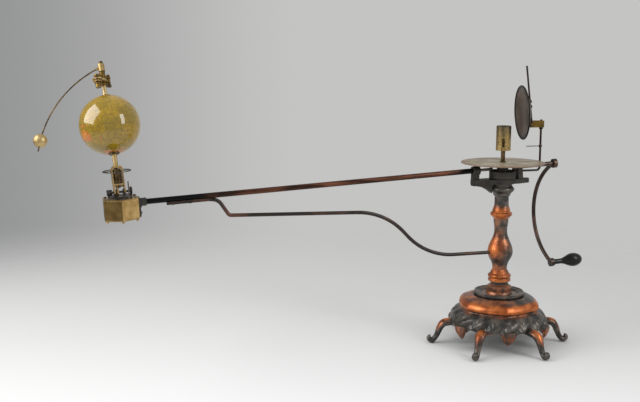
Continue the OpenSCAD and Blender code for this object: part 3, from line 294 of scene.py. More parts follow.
# %% Metal finishes
brass = aged_metal("aged_brass", rgb(196, 166, 112), rgb(140, 112, 66), 0.92, (0.22, 0.36), 70, 0.12)
stained_brass = aged_metal("stained_brass", rgb(128, 101, 44), rgb(60, 46, 22), 0.85, (0.32, 0.55), 60)
dark_brass = aged_metal("dark_brass", rgb(120, 98, 66), rgb(50, 40, 28), 0.85, (0.38, 0.6), 90)
satin_brass = aged_metal("satin_brass", rgb(196, 172, 122), rgb(150, 126, 82), 0.9, (0.44, 0.56), 50, 0.02)
iron = aged_metal("black_iron", rgb(42, 41, 39), rgb(70, 65, 59), 0.55, (0.4, 0.62), 80, 0.35)
steel = aged_metal("old_steel", rgb(112, 108, 101), rgb(62, 56, 50), 0.85, (0.34, 0.55), 110)
black_rod = drawn_rod("black_rod", rgb(34, 28, 24), rgb(98, 62, 44), 0.6, (0.32, 0.5), (40, 260, 40))
brown_rod = drawn_rod("brown_rod", rgb(46, 35, 29), rgb(118, 84, 66), 0.7, (0.32, 0.5), (60, 60, 60))
ebony = aged_metal("ebonised_wood", rgb(9, 8, 8), rgb(20, 17, 15), 0.0, (0.2, 0.34), 40, 0.05)
ebony.node_tree.nodes["Principled BSDF"].inputs["Specular IOR Level"].default_value = 0.3
print("finishes", len(bpy.data.materials))

# %% [markdown]
# The reflector is tarnished brown, and its rolled rim has gone nearly black. Distance from the middle of
# the dish tells rim from face.

# %% Reflector finish
DISH_AT = (0.0309, 0.0067, 0.3289)
DISH_RIM = (0.0335, 0.0368)
tarnish, tree, shader = new_look("tarnished_reflector", 0.85)
age = place_group(tree, weathering, Scale=45.0)
place = object_place(tree)
spoke = add_node(tree, "VectorMath", {0: place, 1: DISH_AT}, operation="SUBTRACT").outputs[0]
reach = add_node(tree, "VectorMath", {0: spoke}, operation="LENGTH").outputs["Value"]
at_rim = ramp(tree, reach, *DISH_RIM)
face = blend_colour(tree, age["Patches"], rgb(126, 113, 101), rgb(92, 80, 71))
tree.links.new(blend_colour(tree, at_rim, face, rgb(34, 32, 29)), shader.inputs["Base Color"])
tree.links.new(ramp(tree, age["Patches"], 0, 1, 0.32, 0.48), shader.inputs["Roughness"])
bump(tree, shader, age["Height"], 0.08)
print("reflector finish", tarnish.name)

# %% [markdown]
# The gearbox is a six-sided brass case. Its outer half is painted darker than the half near the arm, as
# painted shade, so its finish adds a darker tone that starts at the middle edge, found by how far along the
# arm a point lies.

# %% Gearbox finish
DROOP = math.radians(3)
CASE_EDGE = -0.5128
EDGE_BLUR = 0.0004
box_look, tree, shader = new_look("case_brass", 0.92)
age = place_group(tree, weathering, Scale=70.0)
place = object_place(tree)
arm_way = (math.cos(DROOP), 0, math.sin(DROOP))
along = add_node(tree, "VectorMath", {0: place, 1: arm_way}, operation="DOT_PRODUCT").outputs["Value"]
shaded_end = ramp(tree, along, CASE_EDGE - EDGE_BLUR, CASE_EDGE + EDGE_BLUR, 1.0, 0.0)
side_tone = blend_colour(tree, age["Patches"], rgb(204, 172, 114), rgb(160, 130, 80))
# painted shade: the darker tone on the outer end of the case
shaded_end_tone = blend_colour(tree, age["Patches"], rgb(140, 114, 68), rgb(98, 78, 44))
tree.links.new(blend_colour(tree, shaded_end, side_tone, shaded_end_tone), shader.inputs["Base Color"])
tree.links.new(ramp(tree, age["Patches"], 0, 1, 0.3, 0.42), shader.inputs["Roughness"])
bump(tree, shader, age["Height"], 0.05)
print("gearbox finish", box_look.name)

# %% [markdown]
# The candle socket is brass below and smoked brown above, where flames have reached it.
# Its finish blends the two by height, with the same patches, so the border is uneven.

# %% Socket finish
SMOKE_LEVELS = (0.292, 0.318)
socket_look, tree, shader = new_look("smoked_brass", 0.88)
age = place_group(tree, weathering, Scale=65.0)
place = object_place(tree)
level = add_node(tree, "SeparateXYZ", {0: place}).outputs[2]
uneven = calc(tree, "MULTIPLY_ADD", age["Patches"], 0.012, level)
smoked = ramp(tree, uneven, *SMOKE_LEVELS)
clean = blend_colour(tree, age["Specks"], rgb(176, 150, 98), rgb(126, 104, 62))
sooty = blend_colour(tree, age["Patches"], rgb(118, 108, 82), rgb(52, 47, 38))
tree.links.new(blend_colour(tree, smoked, clean, sooty), shader.inputs["Base Color"])
tree.links.new(ramp(tree, age["Patches"], 0, 1, 0.3, 0.5), shader.inputs["Roughness"])
bump(tree, shader, age["Height"], 0.2)
print("socket finish", socket_look.name)

# %% [markdown]
# The arm tube is lacquered brown, rubbed to copper along its length, and black near both ends.
# Its colour therefore follows the tube's own length, along X.

# %% Arm tube finish
OUTER_END = (-0.425, -0.39)
INNER_END = (-0.07, -0.045)
arm_look, tree, shader = new_look("arm_lacquer", 0.75)
age = place_group(tree, streaking, Stretch=(22, 240, 240))
patch = place_group(tree, weathering, Scale=14.0)
place = object_place(tree)
along = add_node(tree, "SeparateXYZ", {0: place}).outputs[0]
wander = calc(tree, "MULTIPLY_ADD", patch["Patches"], 0.03, along)
bare = calc(tree, "MULTIPLY", ramp(tree, wander, *OUTER_END), ramp(tree, wander, *INNER_END, 1.0, 0.0))
rubbed = calc(tree, "MULTIPLY_ADD", age["Streaks"], 0.55, calc(tree, "MULTIPLY", patch["Patches"], 0.35))
brown = blend_colour(tree, rubbed, rgb(28, 18, 14), rgb(120, 74, 52))
tree.links.new(blend_colour(tree, bare, rgb(6, 6, 6), brown), shader.inputs["Base Color"])
tree.links.new(ramp(tree, rubbed, 0, 1, 0.28, 0.46), shader.inputs["Roughness"])
bump(tree, shader, age["Height"], 0.12)
print("arm finish", arm_look.name)

# %% [markdown]
# The calendar disc is a card dial under old varnish. Its rings and divisions are ink, drawn here
# from distance and angle about the column axis, with no lettering. Twelve long lines part the months.

# %% Dial finish
dial_look, tree, shader = new_look("dial_card", 0.0, 0.15, 0.3)
place = object_place(tree)
parts = add_node(tree, "SeparateXYZ", {0: place}).outputs
flat = add_node(tree, "CombineXYZ", {0: parts[0], 1: parts[1]}).outputs[0]
reach = add_node(tree, "VectorMath", {0: flat}, operation="LENGTH").outputs["Value"]
turn = calc(tree, "ARCTAN2", parts[1], parts[0])


def ring_line(radius, half):
    gap = calc(tree, "ABSOLUTE", calc(tree, "SUBTRACT", reach, radius * MM))
    return calc(tree, "LESS_THAN", gap, half * MM)


def division(count, half, low, high):
    arc = math.tau / count
    near = calc(tree, "PINGPONG", turn, arc / 2)
    wide = calc(tree, "MULTIPLY", near, reach)
    line = calc(tree, "LESS_THAN", wide, half * MM)
    inside = calc(tree, "GREATER_THAN", reach, low * MM)
    outside = calc(tree, "LESS_THAN", reach, high * MM)
    return calc(tree, "MULTIPLY", line, calc(tree, "MULTIPLY", inside, outside))


ink = ring_line(25, 0.2)
for mark in (ring_line(36, 0.15), ring_line(47, 0.2), ring_line(52, 0.15), ring_line(55.5, 0.3),
             division(12, 0.2, 25, 55.5), division(72, 0.12, 47, 52), division(24, 0.14, 36, 47)):
    ink = calc(tree, "MAXIMUM", ink, mark)
age = place_group(tree, weathering, Scale=55.0)
card = blend_colour(tree, age["Patches"], rgb(138, 127, 104), rgb(112, 101, 80))
card = blend_colour(tree, ramp(tree, reach, 0.042, 0.06), card, rgb(112, 88, 68))
faint = calc(tree, "MULTIPLY", ink, ramp(tree, age["Specks"], 0, 1, 0.85, 0.45))
tree.links.new(blend_colour(tree, faint, card, rgb(58, 48, 38)), shader.inputs["Base Color"])
tree.links.new(ramp(tree, age["Patches"], 0, 1, 0.4, 0.62), shader.inputs["Roughness"])
bump(tree, shader, age["Height"], 0.1)
print("dial ready")

# %% [markdown]
# Most CAD nodes keep their shape and take one of these finishes in place of their plain colour.
# A list for each finish is easier to read and to change than a line for each node.
# The column, pan, base, handle and globe are not in the lists, because they are modelled again below.

# %% Dress the CAD nodes
dress = {
    box_look: "gearbox_case",
    brass: "gearbox_lid gearbox_floor gearbox_feet earth_crown cross_contrate yoke_arch arm_bushes",
    satin_brass: "moon_ball moon_hub spindle_tube idler_wheels",
    stained_brass: "swivel_block head_wheel moon_bracket",
    socket_look: "candle_socket",
    dark_brass: "moon_cap moon_wire globe_caps candle_stem setting_wheel",
    iron: "head_bracket contrate_wheel gearbox_flange moon_ring roller_pinion arbor_collar mirror_clips "
          "thrust_washer",
    steel: "spindle spindle_nut head_screws brace_rivets gearbox_screws index_pin crank_pinion drive_shaft "
           "drive_pinion box_pinion yoke_hub arch_screws hour_ring cross_arbor inner_arbor idler_arbor "
           "handle_pin",
    black_rod: "brace_rod reflector_post mirror_rod",
    brown_rod: "crank_shaft crank_arm date_pointer",
    tarnish: "mirror_dish",
    arm_look: "arm_tube",
    dial_look: "calendar_disc",
}
for look, names in dress.items():
    for name in names.split():
        for number in range(len(nodes[name].material_slots)):
            nodes[name].material_slots[number].material = look
print("dressed", sum(len(names.split()) for names in dress.values()))

# %% [markdown]
# Turned and cast pieces are lofts: one ring is drawn, extruded, and each new ring is set to its size.
# By hand that is a circle, then extrude and scale again and again; here a loop does the same.
# While it is built, every ring stands one unit above the last, so that a point's height tells its ring
# and its angle tells its place in the ring. A closed loft joins its last ring to its first, as a wall.


# %% Loft helper
def loft(name, rings, ends="open", marks=None):
    """A mesh through rings of points in millimetres. Ends are open, capped, or closed to each other."""
    rings = np.asarray(rings, dtype=float)
    total, count = rings.shape[:2]
    bpy.ops.object.select_all(action="DESELECT")
    bpy.ops.mesh.primitive_circle_add(vertices=count, radius=1)
    piece = bpy.context.object
    piece.name = name
    piece.data.name = name
    bpy.ops.object.mode_set(mode="EDIT")
    bpy.ops.mesh.select_all(action="SELECT")
    for _ in range(total - 1):
        bpy.ops.mesh.extrude_edges_move(TRANSFORM_OT_translate={"value": (0, 0, 1)})
    bpy.ops.object.mode_set(mode="OBJECT")
    places = np.empty(total * count * 3)
    piece.data.vertices.foreach_get("co", places)
    places = places.reshape(-1, 3)
    ring_of = np.rint(places[:, 2]).astype(int)
    turn_of = np.arctan2(places[:, 1], places[:, 0])
    step_of = np.rint((turn_of % math.tau) / math.tau * count).astype(int) % count
    for chosen in {"open": [], "capped": [[0], [total - 1]], "closed": [[0, total - 1]]}[ends]:
        bpy.ops.object.mode_set(mode="EDIT")
        bpy.ops.mesh.select_all(action="DESELECT")
        bpy.ops.object.mode_set(mode="OBJECT")
        piece.data.vertices.foreach_set("select", np.isin(ring_of, chosen))
        bpy.ops.object.mode_set(mode="EDIT")
        if ends == "closed":
            bpy.ops.mesh.bridge_edge_loops()
        else:
            bpy.ops.mesh.edge_face_add()
        bpy.ops.object.mode_set(mode="OBJECT")
    piece.data.vertices.foreach_set("co", (rings[ring_of, step_of] * MM).ravel())
    if marks is not None:
        layer = piece.data.attributes.new("copper", "FLOAT", "POINT")
        layer.data.foreach_set("value", np.asarray(marks, dtype=float)[ring_of, step_of])
    bpy.ops.object.mode_set(mode="EDIT")
    bpy.ops.mesh.select_all(action="SELECT")
    bpy.ops.mesh.normals_make_consistent(inside=False)
    bpy.ops.object.mode_set(mode="OBJECT")
    return piece, ring_of, step_of


def lathe_rings(profile, count, centre=(0, 0, 0), across=(1, 0, 0), sideways=(0, 1, 0), axis=(0, 0, 1)):
    """Rings for a profile of radius and height about any axis."""
    turns = np.linspace(0, math.tau, count, endpoint=False)
    wheel = np.outer(np.cos(turns), across) + np.outer(np.sin(turns), sideways)
    return [np.asarray(centre) + radius * wheel + height * np.asarray(axis) for radius, height in profile]


def turned(keys, finer=4):
    """Points of a turned profile, eased between keys of radius, height and steps."""
    points = []
    for here, there in zip(keys, keys[1:]):
        steps = here[2] * finer
        for step in range(steps):
            share = step / steps
            swing = (1 - math.cos(math.pi * share)) / 2
            points.append((here[0] + (there[0] - here[0]) * swing, here[1] + (there[1] - here[1]) * share))
    return points + [keys[-1][:2]]


def subdivide(piece, levels):
    bpy.context.view_layer.objects.active = piece
    softer = piece.modifiers.new("softer", "SUBSURF")
    softer.levels = levels
    softer.render_levels = levels
    bpy.ops.object.modifier_apply(modifier=softer.name)


def select_only(*pieces):
    """Select these pieces and nothing else, with the first one active."""
    bpy.ops.object.select_all(action="DESELECT")
    for piece in pieces:
        piece.select_set(True)
    bpy.context.view_layer.objects.active = pieces[0]


def smooth(piece, degrees=35):
    select_only(piece)
    bpy.ops.object.shade_smooth_by_angle(angle=math.radians(degrees))


print("loft helpers ready")

# %% [markdown]
# Column, pan and base were painted black and rubbed with copper bronze on the bands and swellings.
# Each of these pieces carries an attribute that says how much copper shows at each point, with painted
# sheen added as extra copper on the lit side, and one material reads it, so black and copper meet in a soft,
# patchy line as brushed bronzing does.

# %% Bronzed iron finish
bronzed, tree, shader = new_look("bronzed_iron", 0.65, 0.12, 0.2)
age = place_group(tree, weathering, Scale=85.0)
wide = place_group(tree, weathering, Scale=30.0)
painted = add_node(tree, "Attribute", attribute_name="copper").outputs["Fac"]
patchy = calc(tree, "MULTIPLY_ADD", age["Patches"], 0.2, painted)
patchy = calc(tree, "MULTIPLY_ADD", wide["Patches"], 0.14, patchy)
patchy = calc(tree, "MULTIPLY_ADD", age["Specks"], -0.12, patchy)
share = ramp(tree, patchy, 0.25, 1.05)
black = blend_colour(tree, age["Patches"], rgb(52, 51, 48), rgb(94, 89, 83))
copper = blend_colour(tree, age["Patches"], rgb(148, 74, 30), rgb(194, 110, 54))
tree.links.new(blend_colour(tree, share, black, copper), shader.inputs["Base Color"])
tree.links.new(ramp(tree, age["Specks"], 0, 1, 0.32, 0.48), shader.inputs["Roughness"])
bump(tree, shader, age["Height"], 0.1)
print("bronzed finish", bronzed.name)

# %% [markdown]
# The column is one turned baluster: a foot with two rings, a vase, a slim stem with a ring, and a ball
# capital. It is hollow, because the fixed spindle runs up through it, so its loft is closed through the bore.
# The copper shows on the foot rings, on the upper ring, and on the shoulder of the vase. On the lit side
# it runs further down, as painted sheen, so the amount depends on height and on the angle round the column.

# %% Column
COLUMN_Z = 88.45
BORE_R = 6.05
column_keys = [
    (12.5, 0, 1), (12.8, 2, 2), (15.8, 3.2, 2), (15.8, 6, 2), (15, 7, 2), (16.2, 10.5, 3),
    (12.4, 16, 3), (10.2, 20, 1), (10.4, 23, 8), (17.7, 44.5, 9), (9, 75.5, 3), (10.4, 92.5, 2),
    (12.3, 95, 2), (15.1, 98, 2), (15.1, 100.5, 2), (12.4, 103, 4), (9.9, 113.5, 1), (9.9, 123.5, 2),
    (12, 127, 4), (17.1, 134.5, 4), (13.6, 141, 1), (13.6, 142.5, 1), (BORE_R, 142.5, 1),
    (BORE_R, 0, 1),
]
column_copper = [
    (0, 0.1), (2, 0.2), (4, 0.8), (7, 0.7), (8, 0.85), (15, 0.75), (19, 0.6), (23, 0.4), (34, 0.0),
    (44, 0.35), (54, 0.62), (64, 0.42), (72, 0.28), (78, 0.22), (92, 0.2), (95, 0.75), (105, 0.8),
    (110, 0.4), (115, 0.0), (143, 0.0),
]
AROUND = 96
LIT_SIDE = math.radians(180)
around = np.linspace(0, math.tau, AROUND, endpoint=False)
profile = turned(column_keys[:-1]) + [column_keys[-1][:2]]
rings = lathe_rings([(r, COLUMN_Z + z) for r, z in profile], AROUND)
levels = [z for _, z in profile]
amount = np.interp(levels, *zip(*column_copper))
# painted sheen: more copper colour on the lit side of the vase
swing = np.interp(levels, [26, 34, 44, 62, 78], [0.15, 0.38, 0.48, 0.3, 0.15])
column_marks = amount[:, None] + np.outer(swing, np.cos(around - LIT_SIDE))
column, _, _ = loft("turned_column", rings, "closed", column_marks)
smooth(column)
column.data.materials.append(bronzed)
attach(column, "arm_frame")
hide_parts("column")
print("column", len(column.data.polygons), "faces")

# %% [markdown]
# A shallow pan sits on the dome, with a raised rim and a foot flange under the column.
# It is turned as well, and its rim is rubbed to brown.

# %% Pan
pan_keys = [
    (6, 66, 1), (31.5, 66, 4), (34.5, 73.5, 1), (34.5, 76.5, 1), (32.7, 76.5, 3), (26.5, 73.1, 1),
    (18.6, 73.1, 2), (17.1, 77, 1), (17.1, 83.5, 2), (15.3, 85, 1), (12.5, 85, 1), (12.5, 86.9, 1),
    (6, 86.9, 1),
]
profile = turned(pan_keys, 3)
pan_copper = np.interp([r for r, _ in profile], [6, 16, 18, 24, 31, 35], [0.4, 0.5, 0.4, 0.16, 0.18, 0.16])
rings = lathe_rings(profile, AROUND)
pan, _, _ = loft("turned_pan", rings, "closed", np.repeat(pan_copper[:, None], AROUND, axis=1))
smooth(pan)
pan.data.materials.append(bronzed)
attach(pan, "stand")
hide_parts("base_pan")
print("pan", len(pan.data.polygons), "faces")

# %% [markdown]
# The base is the hardest casting: a soft hexagonal dome with a copper band, a skirt of swirled flutes,
# an edge that arches between the legs, leaf pendants at the corners and six cabriole legs.
# The dome is a loft whose rings are bent by three small rules: towards a hexagon, out and in by the flutes,
# and up or down at the lower edge. Each flute rises steeply and falls gently, like a leaf laid over the next.
# A row of the table holds radius and height, then the shares of hexagon, flute, twist and edge, and
# last the copper. Subdivision then softens it all as sand casting does.

# %% Dome of the base
BASE_TURN = math.radians(-14)
DOME_TOP = 66
dome_rows = [
    (10, DOME_TOP, 0, 0, 0, 0, 0.1), (32.5, DOME_TOP, 0, 0, 0, 0, 0.1), (35, 70.8, 0, 0, 0, 0, 0.15),
    (37.5, 71.4, 0.1, 0, 0, 0, 0.25), (41.5, 70.4, 0.2, 0, 0, 0, 0.35), (46, 69, 0.3, 0, 0, 0, 0.3),
    (50, 67.4, 0.35, 0, 0, 0, 0.3), (52.4, 66.2, 0.4, 0, 0, 0, 0.55), (54.4, 64.8, 0.4, 0, 0, 0, 0.9),
    (57, 62, 0.4, 0, 0, 0, 1), (58.5, 58.8, 0.4, 0, 0, 0, 1), (58.6, 56.6, 0.4, 0, 0, 0, 0.95),
    (57.4, 54.6, 0.4, 0, 0, 0, 0.7), (56, 53.8, 0.4, 0, 0, 0, 0.35), (55.6, 52.8, 0.4, 0, 0, 0, 0.3),
    (56.8, 51.6, 0.4, 0.1, 0, 0, 0.45), (60, 50.2, 0.4, 0.5, 0.03, 0, 0.15),
    (63.4, 48.4, 0.4, 0.85, 0.1, 0, 0.05), (66.4, 45.8, 0.4, 1, 0.22, 0, 0.05),
    (68.8, 42.4, 0.4, 1, 0.4, 0, 0.05), (70.3, 38.6, 0.4, 1, 0.6, 0, 0.05),
    (71, 34.8, 0.38, 1, 0.8, 0, 0.05), (70.8, 31.8, 0.36, 0.8, 0.92, 0.15, 0.1),
    (70.4, 29.4, 0.34, 0.4, 1, 0.42, 0.2), (70, 27.6, 0.32, 0, 1, 0.74, 0.4),
    (69, 26.3, 0.3, 0, 1, 0.95, 0.4), (64, 26, 0.3, 0, 1, 0.95, 0.1), (63, 26.6, 0.3, 0, 1, 0.85, 0),
    (61, 32, 0.3, 0, 0, 0, 0), (45, 46, 0.3, 0, 0, 0, 0), (20, 54, 0, 0, 0, 0, 0),
    (10, 54, 0, 0, 0, 0, 0),
]
FLUTES = 18
FLUTE_DEPTH = 3.4
FLUTE_LEAN = 0.48
FLUTE_TWIST = math.radians(23)
FLUTE_SINK = 0.6
ARCH_RISE = 5.2
LEAF_DROP = 5
LEAF_HALF = 10
SHOULDER_FROM = 36
SHOULDER_TO = 52
SHOULDER_LOW = 64
SHOULDER_SHEEN = 0.25
SIXTH = math.radians(60)
DOME_AROUND = 360
turns = np.linspace(0, math.tau, DOME_AROUND, endpoint=False)
from_side = (turns + SIXTH / 2) % SIXTH - SIXTH / 2
hexagon = math.cos(SIXTH / 2) / np.cos(from_side)
arch = ARCH_RISE * np.sin(6 * turns) ** 2
leaf = np.clip(1 - np.abs(np.degrees(turns) % 60 - 30) / LEAF_HALF, 0, 1)


def dome_ring(radius, height, hexed, fluted, twist, edge, _):
    share = (turns + FLUTE_TWIST * twist) * FLUTES / math.tau % 1
    flute = np.sin(math.pi * share ** FLUTE_LEAN) - FLUTE_SINK
    reach = radius * (1 - hexed + hexed * hexagon) + FLUTE_DEPTH * fluted * flute
    level = height + edge * (arch - LEAF_DROP * leaf)
    return np.stack([reach * np.cos(turns + BASE_TURN), reach * np.sin(turns + BASE_TURN), level], axis=1)


rings = [dome_ring(*row) for row in dome_rows]
amount = np.array([row[6] for row in dome_rows])
on_shoulder = np.array([SHOULDER_FROM < row[0] < SHOULDER_TO and row[1] > SHOULDER_LOW for row in dome_rows])
# painted sheen: more copper colour on the lit side of the shoulder
lit_side_sheen = SHOULDER_SHEEN * np.outer(on_shoulder, np.cos(turns + BASE_TURN - LIT_SIDE))
dome_copper = amount[:, None] + lit_side_sheen
dome, _, _ = loft("swirled_base", rings, "closed", dome_copper)
subdivide(dome, 1)
print("dome", len(dome.data.polygons), "faces")

# %% [markdown]
# A leg is a loft along a curved path: out from the skirt, over the knee, down to a thin ankle and out
# to a curled toe. The rings are egg-shaped with a ridge along the front, as the carved pattern had.
# One leg is made, then copied and turned five times about the column axis.


# %% Legs of the base
def eased_path(points, finer):
    """Smooth points through a path, by cubic pieces between its neighbours."""
    points = np.asarray(points, dtype=float)
    padded = np.concatenate([[2 * points[0] - points[1]], points, [2 * points[-1] - points[-2]]])
    out = []
    for a, b, c, d in zip(padded, padded[1:], padded[2:], padded[3:]):
        for share in np.arange(finer) / finer:
            out.append(0.5 * (2 * b + (c - a) * share + (2 * a - 5 * b + 4 * c - d) * share ** 2
                              + (3 * b - a - 3 * c + d) * share ** 3))
    return np.array(out + [points[-1]])


def six_round(piece, first):
    """Six of a piece, turned about the column axis from a first angle in degrees."""
    made = [piece]
    for _ in range(5):
        select_only(piece)
        bpy.ops.object.duplicate()
        made.append(bpy.context.object)
    for number, one in enumerate(made):
        one.rotation_euler = (0, 0, BASE_TURN + math.radians(first + 60 * number))
    return made


leg_keys = [
    (65.1, 31, 4.8, 6.8), (73, 30.6, 5.2, 7.2), (79, 28.6, 5.2, 7), (83, 23.5, 4.8, 6),
    (85.7, 17, 4.3, 5), (87.9, 11.5, 3.8, 4.4), (90.9, 6.6, 3.7, 4.3), (94.4, 4, 3.9, 4.6),
    (97.6, 4.8, 3.9, 4.4), (98.9, 7.4, 3.6, 4), (97.7, 9.6, 2.6, 3), (96.5, 10, 1.2, 1.6),
]
path = eased_path(leg_keys, 5)
ahead = np.gradient(path[:, :2], axis=0)
ahead /= np.linalg.norm(ahead, axis=1)[:, None]
LEG_AROUND = 24
KNEE_END = 0.5
KNEE_RIB = 0.16
leg_turns = np.linspace(0, math.tau, LEG_AROUND, endpoint=False)
KNEE_AT = [0.03, 0.1, 0.25, 0.4, 0.7, 1]
KNEE_COPPER = [0.3, 0.92, 0.82, 0.18, 0.08, 0.05]
leg_rings = []
leg_copper = []
for number, (spot, run) in enumerate(zip(path, ahead)):
    outward = np.array([-run[1], run[0]])
    share = number / (len(path) - 1)
    fluting = max(0, 1 - share / KNEE_END)
    ribs = np.abs(np.cos(2.5 * (leg_turns - math.pi / 2)))
    swell = 1 + KNEE_RIB * fluting * (ribs - 0.5)
    lift = spot[2] * swell * np.sin(leg_turns)
    wide = spot[3] * swell * np.cos(leg_turns)
    ring = np.stack([spot[0] + outward[0] * lift, wide, spot[1] + outward[1] * lift], axis=1)
    ring[:, 2] = np.maximum(ring[:, 2], 0)
    leg_rings.append(ring)
    front = np.clip(np.sin(leg_turns), 0, 1)
    leg_copper.append(0.05 + np.interp(share, KNEE_AT, KNEE_COPPER) * front * (0.4 + 0.6 * ribs))
leg, _, _ = loft("leg", leg_rings, "capped", leg_copper)
legs = six_round(leg, 0)
print("legs", len(legs))

# %% [markdown]
# Leaf pendants hang from the corners, between the legs. Each is a flattened, pointed drop,
# so its rings shrink to a tip, and small ribs run down it.

# %% Pendants of the base
LEAF_AROUND = 42
LEAF_OUT = 69.5
LEAF_FLAT = 0.44
LEAF_RIB = 0.14
LEAF_BELLY = 31
LEAF_BEND = 0.012
RIB_COPPER = 1.4
leaf_turns = np.linspace(0, math.tau, LEAF_AROUND, endpoint=False)
leaf_keys = [(34.5, 8.6), (31, 10), (27, 9.4), (23.4, 7.8), (20, 5.6), (17, 3), (15.2, 0.7)]
leaf_path = eased_path(leaf_keys, 3)
leaf_rings = []
leaf_copper = []
for level, half in leaf_path:
    out = LEAF_OUT - LEAF_BEND * (LEAF_BELLY - level) ** 2
    ribs = 1 + LEAF_RIB * (np.abs(np.cos(3.5 * leaf_turns)) - 0.5)
    leaf_copper.append(np.interp(level, [20, 26, 33], [0.5, 0.58, 0.3]) + RIB_COPPER * (ribs - 1))
    reach = out + LEAF_FLAT * half * ribs * np.cos(leaf_turns)
    sideways = half * ribs * np.sin(leaf_turns)
    leaf_rings.append(np.stack([reach, sideways, np.full(LEAF_AROUND, level)], axis=1))
pendant, _, _ = loft("pendant", leaf_rings, "capped", leaf_copper)
pendants = six_round(pendant, 30)
select_only(*legs, *pendants)
bpy.ops.object.transform_apply(location=True, rotation=True, scale=True)
select_only(dome, *legs, *pendants)
bpy.ops.object.join()
smooth(dome, 50)
dome.data.materials.clear()
dome.data.materials.append(bronzed)
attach(dome, "stand")
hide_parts("base_casting")
print("base", len(dome.data.polygons), "faces")

# %% [markdown]
# The crank handle is turned from dark wood, slim at its neck and full at its end. It spins on a pin,
# so it has a bore, and its axis follows the crank shaft, which drops three degrees along the arm.

# %% Handle
ARM_X = np.array([math.cos(DROOP), 0, math.sin(DROOP)])
ARM_Y = np.array([0, 1, 0])
ARM_Z = np.array([-math.sin(DROOP), 0, math.cos(DROOP)])
HANDLE_LEN = 46
NOSE = 13.97
GRIP_R = 9.7
ARM_ROOT = np.array([0, 0, 252.421])
CRANK_OUT = 77.3
CRANK_DROP = 144
handle_keys = [(4.9, 0, 1), (4.9, 1.5, 2), (3.8, 3, 1), (3.7, 11.04, 8), (GRIP_R, HANDLE_LEN - NOSE, 1)]
profile = turned(handle_keys, 3)
for t in np.radians(np.arange(5, 90, 5)):
    profile.append((GRIP_R * math.cos(t), HANDLE_LEN - NOSE * (1 - math.sin(t))))
profile += [(0.3, HANDLE_LEN - 0.02), (0.3, 38.4), (2.55, 38.3), (2.55, 0)]
grip_at = ARM_ROOT + ARM_X * CRANK_OUT - ARM_Z * CRANK_DROP
rings = lathe_rings(profile, 48, grip_at, ARM_Y, ARM_Z, ARM_X)
handle, _, _ = loft("turned_handle", rings, "closed")
smooth(handle)
handle.data.materials.append(ebony)
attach(handle, "handle")
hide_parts("handle")
print("handle", len(handle.data.polygons), "faces")

# %% [markdown]
# The globe is a varnished paper map on a hollow shell. Its loft runs from pole hole to pole hole and back
# inside. Land is marked on its points from a few listed outlines, in whole degrees, so the map is
# plain and general: coasts, tinted regions and a net of meridians and parallels, with no names.

# %% Globe shell
YOKE = math.radians(5)
TILT = math.radians(23.5)
YOKE_X = math.cos(YOKE) * ARM_X + math.sin(YOKE) * ARM_Y
YOKE_Y = math.cos(YOKE) * ARM_Y - math.sin(YOKE) * ARM_X
AXIS = math.sin(TILT) * YOKE_Y + math.cos(TILT) * ARM_Z
AXIS_Y = math.cos(TILT) * YOKE_Y - math.sin(TILT) * ARM_Z
YOKE_AT = np.array([-526.074, 0, 240.0])
GLOBE_RISE = 89
globe_at = YOKE_AT + GLOBE_RISE * AXIS
GLOBE_R = 38.5
SHELL = 1.6
MERIDIANS = 300
POLE_HOLE_R = 4
POLE = math.asin(POLE_HOLE_R / GLOBE_R)
latitudes = np.linspace(-math.pi / 2 + POLE, math.pi / 2 - POLE, 151)
inner = np.linspace(math.pi / 2 - POLE, -math.pi / 2 + POLE, 13)
profile = [(GLOBE_R * math.cos(t), GLOBE_R * math.sin(t)) for t in latitudes]
profile += [((GLOBE_R - SHELL) * math.cos(t), (GLOBE_R - SHELL) * math.sin(t)) for t in inner]
rings = lathe_rings(profile, MERIDIANS, globe_at, YOKE_X, AXIS_Y, AXIS)
globe, ring_of, step_of = loft("map_globe", rings, "closed")
smooth(globe, 40)
print("globe", len(globe.data.polygons), "faces")

# %% [markdown]
# A point is on land if a line drawn from it crosses an outline an odd number of times.
# The test runs on longitude and latitude, once as given and once a full turn on, because one outline
# crosses the date line.
# The southern land ends at a wavy parallel. The globe is turned so that the wide ocean faces the camera,
# as in the picture. Faces across the seam of the map get one width added on their near side, so that the
# sheet does not run backwards there.

